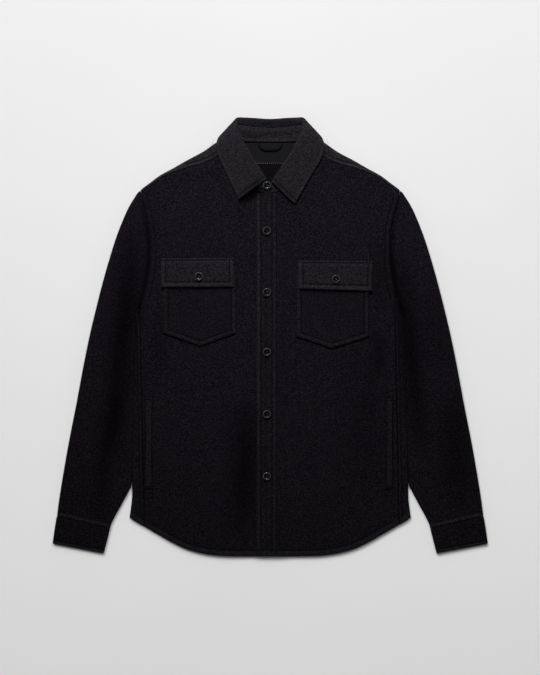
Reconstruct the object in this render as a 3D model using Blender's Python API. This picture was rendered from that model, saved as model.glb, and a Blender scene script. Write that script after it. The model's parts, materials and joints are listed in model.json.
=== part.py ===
"""A felted-wool shacket laid flat on its back, buttoned up.

The wearer's right is at -X, the collar at +Y and the fronts face +Z. The origin is at the bottom of the
cloth, in the middle of the garment. Sizes below are in millimetres, and MM turns them into metres.
"""

import math

import bpy
import numpy as np

MM = 0.001

WALL = 2.4           # felted wool
THIN_WALL = 1.0      # facing and label
PLACKET_WALL = 3.0   # two turned-in layers
SEAM_GAP = 0.3       # between two pieces that meet
CURVED_GAP = 0.6     # the same along a curve, where straight facets meet
STACK_GAP = 0.3      # between a piece and the one that it lies on
BODY_HEIGHT = 8.0    # outside height of the garment, back to front
FRONT_MIDDLE = BODY_HEIGHT - WALL / 2
BACK_MIDDLE = WALL / 2
FOLD_RADIUS = (FRONT_MIDDLE - BACK_MIDDLE) / 2
FOLD_INSET = BODY_HEIGHT / 2
FOLD_STEPS = 5

ARMPIT_Y = 50.0
BACK_YOKE_Y = 217.5
PLACKET_LEFT = -24.4
PLACKET_RIGHT = 11.3
PLACKET_TOP = 256.8
UNDERLAP_END = 10.0      # where the right front ends, under the placket
LEFT_FRONT_RAISE = 2.7   # how far the left front is lifted by the right front under it
LEFT_FRONT_RAMP = 24.0

BUTTON_LINE = -5.8
BUTTON_DIAMETER = 15.0
BUTTON_HEIGHT = 3.0
FRONT_BUTTON_Y = (269.8, 188.9, 79.3, -27.3, -138.1, -248.7)

# Outer edge of the shoulder and sleeve: half width, y.
SHOULDER_AND_SLEEVE = (
    (70.0, 356.0),
    (84.0, 352.8),
    (98.3, 346.0),
    (119.7, 331.0),
    (149.2, 315.2),
    (173.0, 301.5),
    (196.6, 288.5),
    (214.4, 275.3),
    (233.2, 260.9),
    (243.0, 247.9),
    (256.3, 224.6),
    (273.8, 181.7),
    (288.6, 135.3),
    (301.1, 90.6),
    (314.3, 38.1),
    (324.5, -5.9),
    (334.9, -57.7),
    (347.2, -123.8),
    (359.2, -184.6),
    (369.4, -241.8),
    (377.6, -293.6),
    (381.0, -320.4),
)
SHOULDER_POINT = 8   # the row of that table where the armhole seam starts
NECK_POINT = 0.6     # the row, between two, where the neckline meets the shoulder

# Inner edge of the sleeve: half width, y.
SLEEVE_INNER = (
    (239.0, 52.0),
    (240.8, 30.0),
    (242.4, -5.9),
    (244.6, -80.0),
    (246.4, -166.7),
    (248.6, -245.0),
    (255.5, -272.0),
    (266.0, -296.0),
    (282.3, -330.5),
    (286.0, -342.6),
)
CUFF_OUTER = ((381.6, -321.0), (385.4, -344.0), (389.0, -369.7))
CUFF_INNER = ((286.4, -343.3), (291.0, -362.0), (297.5, -387.2))

# Armhole seam: y, half width.
ARMHOLE = (
    (47.0, 235.6),
    (67.4, 226.9),
    (96.0, 219.1),
    (129.9, 214.4),
    (163.9, 214.3),
    (194.2, 216.2),
    (222.8, 222.6),
    (246.0, 229.4),
    (257.6, 231.6),
)
# Side of the body: y, half width.
BODY_SIDE = (
    (-330.0, 251.6),
    (-324.3, 251.2),
    (-288.2, 246.8),
    (-256.1, 246.3),
    (-166.7, 244.4),
    (-5.9, 240.6),
    (38.8, 237.6),
    (60.0, 237.0),
)
# Forward side seam: y, half width on the wearer's right, half width on the left.
SIDE_SEAM = (
    (-345.0, 224.8, 230.0),
    (-160.0, 228.6, 227.0),
    (0.0, 232.0, 224.0),
    (40.0, 233.0, 223.6),
)
# Hem: half width, y.
HEM = (
    (0.0, -392.2),
    (53.6, -392.0),
    (98.3, -390.2),
    (123.3, -386.3),
    (150.1, -378.9),
    (175.1, -367.3),
    (201.9, -352.1),
    (228.7, -336.6),
    (251.4, -324.3),
)
# Width of the yoke's strip on the front: share of the shoulder from the neck, width.
YOKE_STRIP = (
    (0.0, 20.0),
    (0.16, 18.0),
    (0.36, 13.5),
    (0.50, 7.5),
    (0.66, 2.6),
    (0.80, 1.0),
    (1.0, 0.9),
)
# Neckline of the fronts, from the neck point to the middle: half width, y.
FRONT_NECKLINE = (
    (0.0, 257.4),
    (20.0, 259.5),
    (32.0, 264.5),
    (45.0, 273.5),
    (56.0, 285.5),
    (66.0, 302.0),
    (73.0, 322.0),
    (76.0, 340.0),
)
# Back neck seam: half width, y.
BACK_NECKLINE = ((0.0, 347.4), (47.0, 347.6), (60.0, 349.5), (80.0, 352.0))

# The collar, from the wearer's right front round the back to the left front. Each row is a section:
# the fold of the collar, half the gap between its two layers there, how far the leaf has turned from
# above the stand (0) to under it (180), the leaf's edge, and the seam of the stand with the neck.
COLLAR_COLUMNS = (
    "fold_x", "fold_y", "fold_z", "half_gap", "turn", "edge_x", "edge_y", "edge_z", "neck_x", "neck_y", "neck_z",
)
COLLAR = (
    (-9.4, 277.8, 10.0, 3.1, 0, -56.2, 244.3, 10.4, -13.0, 258.6, 7.0),
    (-20.0, 296.5, 11.5, 3.0, 0, -65.5, 264.0, 10.0, -40.0, 271.5, 7.0),
    (-31.5, 313.5, 13.0, 3.0, 0, -74.5, 283.0, 9.9, -54.0, 285.5, 7.0),
    (-42.5, 332.0, 14.0, 3.0, 5, -84.5, 304.0, 9.9, -63.5, 303.5, 7.2),
    (-51.5, 349.0, 14.0, 3.0, 10, -92.5, 321.0, 9.9, -69.5, 323.0, 7.4),
    (-59.0, 365.0, 12.5, 3.0, 25, -96.5, 334.0, 9.9, -69.5, 340.0, 7.4),
    (-61.5, 377.0, 10.0, 3.0, 50, -96.0, 346.0, 8.6, -66.0, 348.5, 6.6),
    (-58.5, 387.3, 6.5, 2.9, 100, -88.0, 359.0, 3.6, -60.0, 352.0, 5.0),
    (-48.0, 388.3, 4.2, 2.8, 150, -66.0, 358.0, 1.4, -50.0, 349.6, 4.4),
    (-30.0, 387.3, 4.0, 2.8, 180, -38.0, 352.0, 1.2, -31.0, 348.2, 4.3),
    (0.0, 385.4, 4.0, 2.8, 180, 0.0, 351.0, 1.2, 0.0, 348.0, 4.3),
    (30.0, 387.3, 4.0, 2.8, 180, 38.0, 352.0, 1.2, 31.0, 348.2, 4.3),
    (48.0, 388.3, 4.2, 2.8, 210, 66.0, 358.0, 1.4, 50.0, 349.6, 4.4),
    (58.5, 387.3, 6.5, 2.9, 260, 88.0, 359.0, 3.6, 60.0, 352.0, 5.0),
    (61.5, 377.0, 10.0, 3.0, 310, 96.0, 346.0, 8.6, 66.0, 348.5, 6.6),
    (59.0, 365.0, 12.5, 3.0, 335, 96.5, 334.0, 9.9, 69.5, 340.0, 7.4),
    (51.5, 349.0, 14.0, 3.0, 350, 92.5, 320.0, 9.9, 69.5, 323.0, 7.4),
    (42.5, 331.0, 14.2, 3.0, 355, 82.5, 302.0, 9.9, 63.5, 303.5, 7.4),
    (30.0, 311.5, 13.6, 2.6, 360, 70.0, 281.0, 9.9, 54.0, 285.5, 7.6),
    (17.5, 294.5, 12.4, 2.2, 360, 57.0, 259.0, 10.0, 40.0, 271.5, 8.2),
    (3.8, 274.2, 11.4, 1.7, 360, 43.7, 236.4, 10.6, 13.0, 258.6, 9.7),
)
COLLAR_STATIONS = 34
LEAF_TURN_IN = 12.0      # how far the leaf goes on past the fold, to its seam with the stand
STAND_OVERLAP_X = -23.5  # rounded end of the stand's upper lap
STAND_UNDERLAP_X = 7.5   # end of its lower lap

# Chest pockets and flaps: corners on the wearer's right and left, x and y.
POCKETS = {
    "right": {"left": -190.6, "right": -61.0, "top": 124.0, "side_bottom": 6.6, "point": (-124.5, -17.0)},
    "left": {"left": 47.1, "right": 176.3, "top": 121.0, "side_bottom": 0.2, "point": (110.5, -20.7)},
}
FLAPS = {
    "right": {
        "top": ((-195.0, 139.9), (-65.1, 140.6)),
        "bottom": ((-194.3, 88.1), (-63.7, 88.6)),
        "button": (-127.3, 107.4),
    },
    "left": {
        "top": ((49.8, 136.2), (183.1, 134.6)),
        "bottom": ((51.0, 85.2), (181.6, 81.1)),
        "button": (117.1, 102.8),
    },
}
FLAP_SLOPE = 11.0
WELTS = {"right": (-223.0, -211.0, -270.4, -109.5), "left": (207.4, 218.4, -270.4, -111.3)}
WELT_WALL = 2.0

FACING_HALF_WIDTH = 60.0
FACING_Y = (262.0, 346.6)
LABEL_X = (-27.1, 28.3)
LABEL_Y = (266.0, 312.2)
LOOP_HALF_WIDTH = 21.5
LOOP_BAND = 5.0
LOOP_Y = (343.0, 333.5)
LOOP_WALL = 1.4

WOOL = "1B1A1B"
DARK_WOOL = "151415"
LABEL_BLACK = "101011"
HORN_BLACK = "0B0B0D"


def linear(channel):
    """An sRGB channel from 0 to 1 as a linear value."""
    if channel <= 0.04045:
        return channel / 12.92
    return ((channel + 0.055) / 1.055) ** 2.4


def material(name, colour, roughness):
    """A plain surface of one sRGB colour, given as hex."""
    made = bpy.data.materials.get(name)
    if made:
        return made
    made = bpy.data.materials.new(name)
    made.use_nodes = True
    shader = made.node_tree.nodes["Principled BSDF"]
    channels = [linear(int(colour[i:i + 2], 16) / 255) for i in (0, 2, 4)]
    shader.inputs["Base Color"].default_value = (*channels, 1)
    shader.inputs["Roughness"].default_value = roughness
    shader.inputs["Metallic"].default_value = 0
    return made


def wool():
    return material("felted_wool", WOOL, 0.95)


def facing_cloth():
    return material("facing_cloth", DARK_WOOL, 0.9)


def label_cloth():
    return material("label_cloth", LABEL_BLACK, 0.6)


def horn():
    return material("button_horn", HORN_BLACK, 0.25)


def through(table, at, column=1):
    """A smooth curve through the rows of a table, from its first column to another.

    Between two rows it is a cubic whose slope at each row is that of the line between its neighbours.
    """
    rows = np.array([[row[0], row[column]] for row in table], float)
    known, values = rows[:, 0], rows[:, 1]
    slopes = np.gradient(values, known)
    at = np.clip(np.asarray(at, float), known[0], known[-1])
    i = np.clip(np.searchsorted(known, at) - 1, 0, len(known) - 2)
    step = known[i + 1] - known[i]
    t = (at - known[i]) / step
    return (
        (2 * t**3 - 3 * t**2 + 1) * values[i]
        + (t**3 - 2 * t**2 + t) * step * slopes[i]
        + (3 * t**2 - 2 * t**3) * values[i + 1]
        + (t**3 - t**2) * step * slopes[i + 1]
    )


def along(points, at):
    """Places along a smooth curve through points, at row numbers that may lie between two rows."""
    points = np.array(points, float)
    rows = np.arange(len(points))
    columns = [
        through(np.column_stack([rows, points[:, k]]), at)
        for k in range(points.shape[1])
    ]
    return np.stack(columns, -1)


def spread(points, first, last, count):
    """Row numbers from first to last at even distances along the curve through points."""
    fine = np.linspace(first, last, 400)
    steps = np.linalg.norm(np.diff(along(points, fine), axis=0), axis=1)
    length = np.concatenate([[0], np.cumsum(steps)])
    return np.interp(np.linspace(0, length[-1], count), length, fine)


def unit(vectors):
    return vectors / np.linalg.norm(vectors, axis=-1, keepdims=True)


def surface_normals(grid, closed=False):
    """Unit normals of a grid of points: the cross product of its steps along a row and along a column."""
    if closed:
        across = np.roll(grid, -1, 1) - np.roll(grid, 1, 1)
    else:
        across = np.gradient(grid, axis=1)
    up = np.gradient(grid, axis=0)
    return unit(np.cross(across, up))


def add_object(name, points, faces, surface, smooth=True):
    """One named object, from points in millimetres."""
    mesh = bpy.data.meshes.new(name)
    mesh.from_pydata([tuple(p) for p in np.asarray(points) * MM], [], faces)
    mesh.validate()
    mesh.materials.append(surface)
    if smooth:
        mesh.shade_smooth()
        mesh.set_sharp_from_angle(angle=math.radians(50))
    made = bpy.data.objects.new(name, mesh)
    bpy.context.scene.collection.objects.link(made)
    return made


def wall(name, grid, thickness, surface, closed=False):
    """A closed wall of cloth on a grid of points through its middle.

    Each point is moved half the thickness to either side along the surface's normal. The faces of both
    sides are joined by a strip round every open edge.
    """
    rows, columns = grid.shape[:2]
    normals = surface_normals(grid, closed)
    outer = (grid + normals * thickness / 2).reshape(-1, 3)
    inner = (grid - normals * thickness / 2).reshape(-1, 3)
    count = len(outer)
    tops = []
    for i in range(rows - 1):
        for j in range(columns if closed else columns - 1):
            right = (j + 1) % columns
            tops.append((
                i * columns + j,
                i * columns + right,
                (i + 1) * columns + right,
                (i + 1) * columns + j,
            ))
    edges = {(face[k], face[(k + 1) % 4]) for face in tops for k in range(4)}
    faces = list(tops)
    faces += [tuple(v + count for v in reversed(face)) for face in tops]
    faces += [(b, a, a + count, b + count) for a, b in sorted(edges) if (b, a) not in edges]
    used = sorted({v for face in faces for v in face})
    number = {v: n for n, v in enumerate(used)}
    points = np.concatenate([outer, inner])[used]
    return add_object(name, points, [tuple(number[v] for v in face) for face in faces], surface)


def panel(left, right, bottom, top, columns, rows):
    """Plan points of a panel between two side curves x(y) and a bottom and a top curve y(x).

    Each point is moved in turn to its share of the way across and up, until both agree.
    """
    across = np.asarray(columns, float)[None, :]
    up = np.asarray(rows, float)[:, None]
    x = np.zeros((up.size, across.size))
    y = np.zeros_like(x)
    for _ in range(12):
        x = left(y) * (1 - across) + right(y) * across
        y = bottom(x) * (1 - up) + top(x) * up
    return x, y


def shares(count):
    return np.linspace(0, 1, count + 1)


def hem_y(x):
    return through(HEM, np.abs(x))


def side_x(y):
    return through(BODY_SIDE, y)


def armhole_x(y):
    return through(ARMHOLE, y)


def armhole_y(x):
    """Height at which the lower part of the armhole seam reaches x."""
    y = np.linspace(ARMHOLE[0][0], 120, 60)
    return np.interp(-np.asarray(x, float), -armhole_x(y), y)


def seam_x(y, side):
    """The forward side seam, kept on the flat of the front."""
    seam = through(SIDE_SEAM, y, 1 if side < 0 else 2)
    return np.minimum(seam, side_x(y) - FOLD_INSET - 1.5)


def shoulder_frame(rows):
    """Points of the shoulder and sleeve's outer edge, and the unit vectors that point into the cloth."""
    points = along(SHOULDER_AND_SLEEVE, rows)
    step = unit(along(SHOULDER_AND_SLEEVE, rows + 0.02) - along(SHOULDER_AND_SLEEVE, rows - 0.02))
    return points, np.column_stack([step[:, 1], -step[:, 0]])


def edge_frame(points, rows, turn):
    """Points of an edge, and the unit vectors that point into the cloth. turn is 1 or -1."""
    step = unit(along(points, rows + 0.02) - along(points, rows - 0.02))
    return along(points, rows), turn * np.column_stack([step[:, 1], -step[:, 0]])


def fold(edge, inward, angle):
    """Points round the fold at an edge, from the front layer (0) to the back layer (pi)."""
    inset = FOLD_INSET - FOLD_RADIUS * math.sin(angle)
    plan = edge + inward * inset
    height = BODY_HEIGHT / 2 + FOLD_RADIUS * math.cos(angle)
    return np.column_stack([plan, np.full(len(plan), height)])


def fold_angles():
    return np.linspace(0, math.pi, FOLD_STEPS + 1)


def mirrored(grid, side):
    """The grid for the +X side, or its mirror image with its columns reversed."""
    if side > 0:
        return grid
    return (grid * (-1, 1, 1))[:, ::-1]


def back_panel():
    """The back, as one sheet from side seam to side seam, round both side folds.

    Below the armpits its section is a flat bottom layer, a half circle at each side, and a strip on top
    of the front. Above them it is the bottom layer only, between the armholes.
    """
    low_rows = shares(9)
    high_rows = shares(10)[1:]
    back_shares = shares(10)
    grid = []
    for f in low_rows:
        corner = side_x(hem_y(side_x(-330)) * (1 - f) + ARMPIT_Y * f)
        row = []
        for side in (-1, 1):
            edge_y = hem_y(corner) * (1 - f) + ARMPIT_Y * f
            edge = side_x(edge_y)
            strip = []
            for share in (0, 0.5):
                y = edge_y
                for _ in range(6):
                    x = seam_x(y, side) * (1 - share) + (edge - FOLD_INSET) * share
                    y = hem_y(x) * (1 - f) + (armhole_y(x) - SEAM_GAP) * f
                x = x + SEAM_GAP / 2 * (1 - share)
                strip.append((side * x, y, FRONT_MIDDLE))
            arc = [
                (
                    side * (edge - FOLD_INSET + FOLD_RADIUS * math.sin(a)),
                    edge_y,
                    BODY_HEIGHT / 2 + FOLD_RADIUS * math.cos(a),
                )
                for a in fold_angles()
            ]
            row.append(strip + arc)
        inner = np.linspace(row[0][-1][0], row[1][-1][0], len(back_shares))[1:-1]
        bottom = [
            (x, hem_y(x) * (1 - f) + ARMPIT_Y * f, BACK_MIDDLE)
            for x in inner
        ]
        grid.append(row[0] + bottom + row[1][::-1])
    strip_points = FOLD_STEPS + 2
    for f in high_rows:
        y = ARMPIT_Y + (BACK_YOKE_Y - SEAM_GAP / 2 - ARMPIT_Y) * f
        edge = armhole_x(y) - CURVED_GAP / 2
        bottom = [(x, y, BACK_MIDDLE) for x in np.linspace(-edge, edge, len(back_shares))]
        grid.append([bottom[0]] * strip_points + bottom + [bottom[-1]] * strip_points)
    grid = np.array(grid, float)
    cells = np.ones((grid.shape[0] - 1, grid.shape[1] - 1), bool)
    cells[len(low_rows) - 1:, :strip_points] = False
    cells[len(low_rows) - 1:, -strip_points:] = False
    # The section runs from the -X seam down to the bottom layer, so its outside is the underside.
    return sheet_wall("back_panel", grid, WALL, wool(), cells)


def sheet_wall(name, grid, thickness, surface, cells):
    """A wall on a grid of which some cells aren't cloth, with its normals taken from the cloth cells.

    Each point's normal is the mean of its cells' normals, so repeated points outside the cloth don't
    count.
    """
    across = grid[:-1, 1:] - grid[1:, :-1]
    up = grid[1:, 1:] - grid[:-1, :-1]
    faces = np.cross(across, up) * cells[..., None]
    total = np.zeros_like(grid)
    for i, j in ((0, 0), (0, 1), (1, 0), (1, 1)):
        rows, columns = faces.shape[:2]
        total[i:i + rows, j:j + columns] += faces / np.maximum(
            np.linalg.norm(faces, axis=-1, keepdims=True), 1e-9
        )
    length = np.linalg.norm(total, axis=-1, keepdims=True)
    normals = total / np.maximum(length, 1e-9)
    return solid_between(
        name, grid + normals * thickness / 2, grid - normals * thickness / 2, surface, cells
    )


def solid_between(name, top, bottom, surface, cells=None):
    """A closed solid between two grids with the same cells, the first of them on its outer side."""
    rows, columns = top.shape[:2]
    if cells is None:
        cells = np.ones((rows - 1, columns - 1), bool)
    count = rows * columns
    tops = [
        (i * columns + j, i * columns + j + 1, (i + 1) * columns + j + 1, (i + 1) * columns + j)
        for i in range(rows - 1)
        for j in range(columns - 1)
        if cells[i, j]
    ]
    edges = {(face[k], face[(k + 1) % 4]) for face in tops for k in range(4)}
    faces = list(tops)
    faces += [tuple(v + count for v in reversed(face)) for face in tops]
    faces += [(b, a, a + count, b + count) for a, b in sorted(edges) if (b, a) not in edges]
    used = sorted({v for face in faces for v in face})
    number = {v: n for n, v in enumerate(used)}
    points = np.concatenate([top.reshape(-1, 3), bottom.reshape(-1, 3)])[used]
    return add_object(name, points, [tuple(number[v] for v in face) for face in faces], surface)


def shoulder_rows(count):
    return spread(SHOULDER_AND_SLEEVE, NECK_POINT, SHOULDER_POINT, count)


def yoke_seam(count=40):
    """Plan points of the forward yoke seam on the +X side, from the neck to the shoulder point."""
    rows = shoulder_rows(count)
    edge, inward = shoulder_frame(rows)
    width = through(YOKE_STRIP, shares(count - 1))
    return edge + inward * (FOLD_INSET + width)[:, None]


def back_yoke():
    """The yoke, from the back seam up to the neck and over both shoulders to the forward seams."""
    shoulder_count = 11
    neck_columns = 12
    rows = shoulder_rows(shoulder_count)
    rows[-1] -= 0.012
    edge, inward = shoulder_frame(rows)
    arc = [fold(edge, inward, a) for a in fold_angles()[::-1]]
    width = through(YOKE_STRIP, shares(shoulder_count - 1)) - SEAM_GAP
    strip_end = edge + inward * (FOLD_INSET + width)[:, None]
    strip_end = np.column_stack([strip_end, np.full(shoulder_count, FRONT_MIDDLE)])
    low = arc[0]
    neck_x = low[0, 0]
    half = []
    bottom_x = np.linspace(neck_x, armhole_x(BACK_YOKE_Y) - CURVED_GAP / 2, shoulder_count)
    for f in shares(5):
        y = (BACK_YOKE_Y + SEAM_GAP / 2) * (1 - f) + low[:, 1] * f
        x = bottom_x * (1 - f) + low[:, 0] * f
        bulge = armhole_x(y[-1]) - CURVED_GAP / 2 - x[-1]
        x = x + bulge * (1 - f) * shares(shoulder_count - 1) ** 2
        half.append(np.column_stack([x, y, np.full(shoulder_count, BACK_MIDDLE)]))
    for k in range(1, len(arc)):
        half.append(arc[k])
    half.append((arc[-1] + strip_end) / 2)
    half.append(strip_end)
    half = np.array(half)
    bottom_rows = 6
    middle_x = np.linspace(-neck_x, neck_x, neck_columns + 1)[1:-1]
    middle = np.zeros((len(half), len(middle_x), 3))
    for i in range(len(half)):
        f = min(i, bottom_rows - 1) / (bottom_rows - 1)
        top = through(BACK_NECKLINE, np.abs(middle_x))
        y = (BACK_YOKE_Y + SEAM_GAP / 2) * (1 - f) + top * f
        middle[i] = np.column_stack([middle_x, y, np.full(len(middle_x), BACK_MIDDLE)])
    left = (half * (-1, 1, 1))[:, ::-1]
    grid = np.concatenate([left, middle, half], axis=1)
    cells = np.ones((grid.shape[0] - 1, grid.shape[1] - 1), bool)
    cells[bottom_rows - 1:, shoulder_count - 1:-(shoulder_count - 1)] = False
    return sheet_wall("back_yoke", grid, WALL, wool(), cells)


def front_top_y(side):
    """The top of a front as y(x): the forward yoke seam, then the neckline."""
    seam = yoke_seam() - (0, CURVED_GAP - SEAM_GAP)
    neckline = np.array(FRONT_NECKLINE) - (0, CURVED_GAP)

    def top(x):
        half = np.abs(x)
        on_seam = np.interp(half, seam[:, 0], seam[:, 1]) - np.clip((half - 205) / 20, 0, 1)
        on_neck = through(neckline, np.minimum(half, neckline[-1, 0]))
        share = np.clip((half - neckline[-1, 0]) / (seam[0, 0] - neckline[-1, 0] + 1e-6), 0, 1)
        return np.where(half < neckline[-1, 0], on_neck, np.where(half < seam[0, 0],
                        on_neck * (1 - share) + seam[0, 1] * share, on_seam))

    return top


def front_middle_z(x, side):
    """Height of a front's middle: flat, or on the wearer's left raised where it laps the other."""
    if side < 0:
        return np.full(np.shape(x), FRONT_MIDDLE)
    t = np.clip((x - PLACKET_RIGHT - 3) / LEFT_FRONT_RAMP, 0, 1)
    return FRONT_MIDDLE + LEFT_FRONT_RAISE * (1 - t * t * (3 - 2 * t))


def front_outer_x(y, side):
    """Outer edge of a front: the side seam, and above it the armhole."""
    seam = seam_x(y, side) - SEAM_GAP / 2
    hole = armhole_x(y) - CURVED_GAP / 2 - np.clip((y - 240) / 14, 0, 1)
    return np.where(y < armhole_y(seam), seam, hole)


def flat_wall(name, x, y, z, thickness, surface):
    """A wall between a height field and the same field moved straight down."""
    top = np.stack([x, y, z + thickness / 2], -1)
    bottom = np.stack([x, y, z - thickness / 2], -1)
    return solid_between(name, top, bottom, surface)


def front(side):
    """A front panel, from the side seam and armhole to the middle."""
    name = "front_right" if side < 0 else "front_left"
    inner = UNDERLAP_END if side < 0 else PLACKET_RIGHT + SEAM_GAP
    top = front_top_y(side)

    def outer_edge(y):
        return side * front_outer_x(y, side)

    def inner_edge(y):
        return np.full(np.shape(y), inner)

    edges = (outer_edge, inner_edge) if side < 0 else (inner_edge, outer_edge)
    columns = shares(12)
    rows = np.concatenate([np.linspace(0, 0.64, 8), np.linspace(0.67, 1, 14)])
    if side > 0:
        columns = np.concatenate([[0, 0.025, 0.05, 0.08, 0.12], np.linspace(0.2, 1, 9)])
    x, y = panel(*edges, hem_y, top, columns, rows)
    return flat_wall(name, x, y, front_middle_z(x, side), WALL, wool())


def front_placket():
    """The placket, on the lap of the right front."""
    x, y = panel(
        lambda y: np.full(np.shape(y), PLACKET_LEFT),
        lambda y: np.full(np.shape(y), PLACKET_RIGHT),
        hem_y,
        lambda x: np.full(np.shape(x), PLACKET_TOP),
        shares(2),
        shares(12),
    )
    z = BODY_HEIGHT + STACK_GAP + PLACKET_WALL / 2
    return flat_wall("front_placket", x, y, np.full(x.shape, z), PLACKET_WALL, wool())


def tube(outer_edge, inner_edge, first_bulge, rings, first_row, last_row):
    """Rings of a flattened tube between an outer and an inner edge, front layer first.

    Each ring runs from the inner edge over the front layer to the outer edge, round its fold, and back
    under. first_bulge moves the first rings' points towards the body, less from ring to ring.
    """
    outer_rows = spread(outer_edge, first_row, last_row, rings + 1)
    inner_rows = spread(inner_edge, 0, len(inner_edge) - 1, 200)
    inner_rows = np.interp(shares(rings) ** (1.5 if first_bulge else 1), shares(199), inner_rows)
    outer, outer_in = edge_frame(outer_edge, outer_rows, 1)
    inner, inner_in = edge_frame(inner_edge, inner_rows, -1)
    across = np.array((0.02, 0.06, 0.12, 0.2, 0.3, 0.42, 0.54, 0.66, 0.77, 0.87, 0.945))
    if first_bulge is None:
        across = shares(6)[1:-1]
    grid = []
    for t in range(rings + 1):
        start = inner[t] + inner_in[t] * FOLD_INSET
        end = outer[t] + outer_in[t] * FOLD_INSET
        layer = start + (end - start) * across[:, None]
        if t == 0:
            first = start + (end - start) * across[:, None]
        if first_bulge is not None:
            layer = layer + first_bulge(first, t / rings)
            low = layer[:, 1] < ARMPIT_Y + 2
            layer[low, 0] = np.maximum(layer[low, 0], side_x(layer[low, 1]) + FOLD_INSET + 1)
        front_layer = np.column_stack([layer, np.full(len(layer), FRONT_MIDDLE)])
        back_layer = np.column_stack([layer, np.full(len(layer), BACK_MIDDLE)])[::-1]
        outer_fold = np.concatenate([
            fold(outer[t:t + 1], outer_in[t:t + 1], a) for a in fold_angles()
        ])
        inner_fold = np.concatenate([
            fold(inner[t:t + 1], inner_in[t:t + 1], a) for a in fold_angles()[::-1]
        ])
        grid.append(np.concatenate([front_layer, outer_fold, back_layer, inner_fold]))
    return np.array(grid)


def armhole_bulge(first, t):
    """How far a ring's points lie off the straight line: the armhole's curve, gone by a third down.

    first is the straight line of the first ring, t the share of the way down to the cuff.
    """
    fade = np.clip(1 - t / 0.34, 0, 1) ** 1.6
    move = armhole_x(first[:, 1]) + CURVED_GAP / 2 - first[:, 0]
    return np.column_stack([move * fade, np.zeros(len(first))])


def sleeve(side):
    """A sleeve, as a flattened tube from the armhole to the cuff seam."""
    name = "sleeve_right" if side < 0 else "sleeve_left"
    last = len(SHOULDER_AND_SLEEVE) - 1
    grid = tube(SHOULDER_AND_SLEEVE, SLEEVE_INNER, armhole_bulge, 12, SHOULDER_POINT + 0.012, last)
    return wall(name, mirrored(grid, side), WALL, wool(), closed=True)


def cuff(side):
    """A cuff, as a short flattened tube."""
    name = "cuff_right" if side < 0 else "cuff_left"
    grid = tube(CUFF_OUTER, CUFF_INNER, None, 2, 0, len(CUFF_OUTER) - 1)
    return wall(name, mirrored(grid, side), WALL, wool(), closed=True)


def collar_sections(count):
    """The collar's sections at even steps: fold, leaf edge, neck seam, half gap and the turn's vector."""
    table = np.array(COLLAR, float)
    at = np.linspace(0, len(table) - 1, count)
    values = dict(zip(COLLAR_COLUMNS, along(table, at).T))
    fold_line = np.column_stack([values["fold_x"], values["fold_y"], values["fold_z"]])
    edge = np.column_stack([values["edge_x"], values["edge_y"], values["edge_z"]])
    neck = np.column_stack([values["neck_x"], values["neck_y"], values["neck_z"]])
    turn = np.radians(values["turn"])
    down = unit((edge - fold_line) * (1, 1, 0))
    outward = np.column_stack([-down[:, 1], down[:, 0], np.zeros(count)])
    # The outward vector lies in plan, at right angles to the section.
    outward = np.where(fold_line[:, :1] < 0, -outward, outward)
    away = np.cos(turn)[:, None] * (0, 0, 1) + np.abs(np.sin(turn))[:, None] * outward
    return fold_line, edge, neck, values["half_gap"], away


def collar_leaf():
    """The leaf, from its seam inside the collar over the fold and out to its edge."""
    fold_line, edge, neck, half_gap, away = collar_sections(COLLAR_STATIONS + 1)
    gap = half_gap[:, None]
    leaf_start = fold_line + away * gap
    stand_start = fold_line - away * gap
    down = edge - leaf_start
    down = unit(down - away * np.sum(down * away, -1, keepdims=True))
    side = np.sqrt(np.clip(1 - away[:, 2:] ** 2, 0, 1))
    seam = stand_start + unit(neck - stand_start) * (LEAF_TURN_IN - 6 * side)
    grid = [seam, (seam + stand_start) / 2]
    for angle in np.linspace(math.pi, 0, 6):
        grid.append(fold_line + gap * (away * math.cos(angle) - down * math.sin(angle)))
    for f in shares(4)[1:]:
        grid.append(leaf_start * (1 - f) + edge * f)
    grid = np.array(grid)
    return wall("collar_leaf", grid, WALL, wool())


def collar_stand():
    """The stand, from the neck seam to the leaf's seam, with its two ends lapped in front."""
    fold_line, edge, neck, half_gap, away = collar_sections(COLLAR_STATIONS + 1)
    stand_start = fold_line - away * half_gap[:, None]
    towards = unit(neck - stand_start)
    side = np.sqrt(np.clip(1 - away[:, 2:] ** 2, 0, 1))
    seam = stand_start + towards * (LEAF_TURN_IN + 3 * SEAM_GAP + 9 * side)
    under = [
        ((STAND_UNDERLAP_X, 276.0, 6.7), (STAND_UNDERLAP_X, 258.0, 6.7)),
        ((-3.0, 275.5, 6.7), (-3.0, 257.8, 6.7)),
    ]
    over = [
        ((-1.5, 277.0, 10.0), (4.0, 257.6, 10.0)),
        ((-8.5, 278.5, 10.0), (-6.0, 257.4, 10.0)),
        ((-18.0, 277.0, 10.0), (-17.0, 258.0, 10.0)),
        ((STAND_OVERLAP_X, 270.0, 9.6), (STAND_OVERLAP_X, 262.5, 9.6)),
    ]
    top = np.concatenate([[pair[0] for pair in under], seam, [pair[0] for pair in over]])
    low = np.concatenate([[pair[1] for pair in under], neck, [pair[1] for pair in over]])
    grid = np.array([low * (1 - f) + top * f for f in shares(3)])
    return wall("collar_stand", grid, WALL, wool())


def rectangle(x_range, y_range, columns, rows):
    x = np.linspace(*x_range, columns + 1)[None, :] + np.zeros((rows + 1, 1))
    y = np.linspace(*y_range, rows + 1)[:, None] + np.zeros((1, columns + 1))
    return x, y


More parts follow.
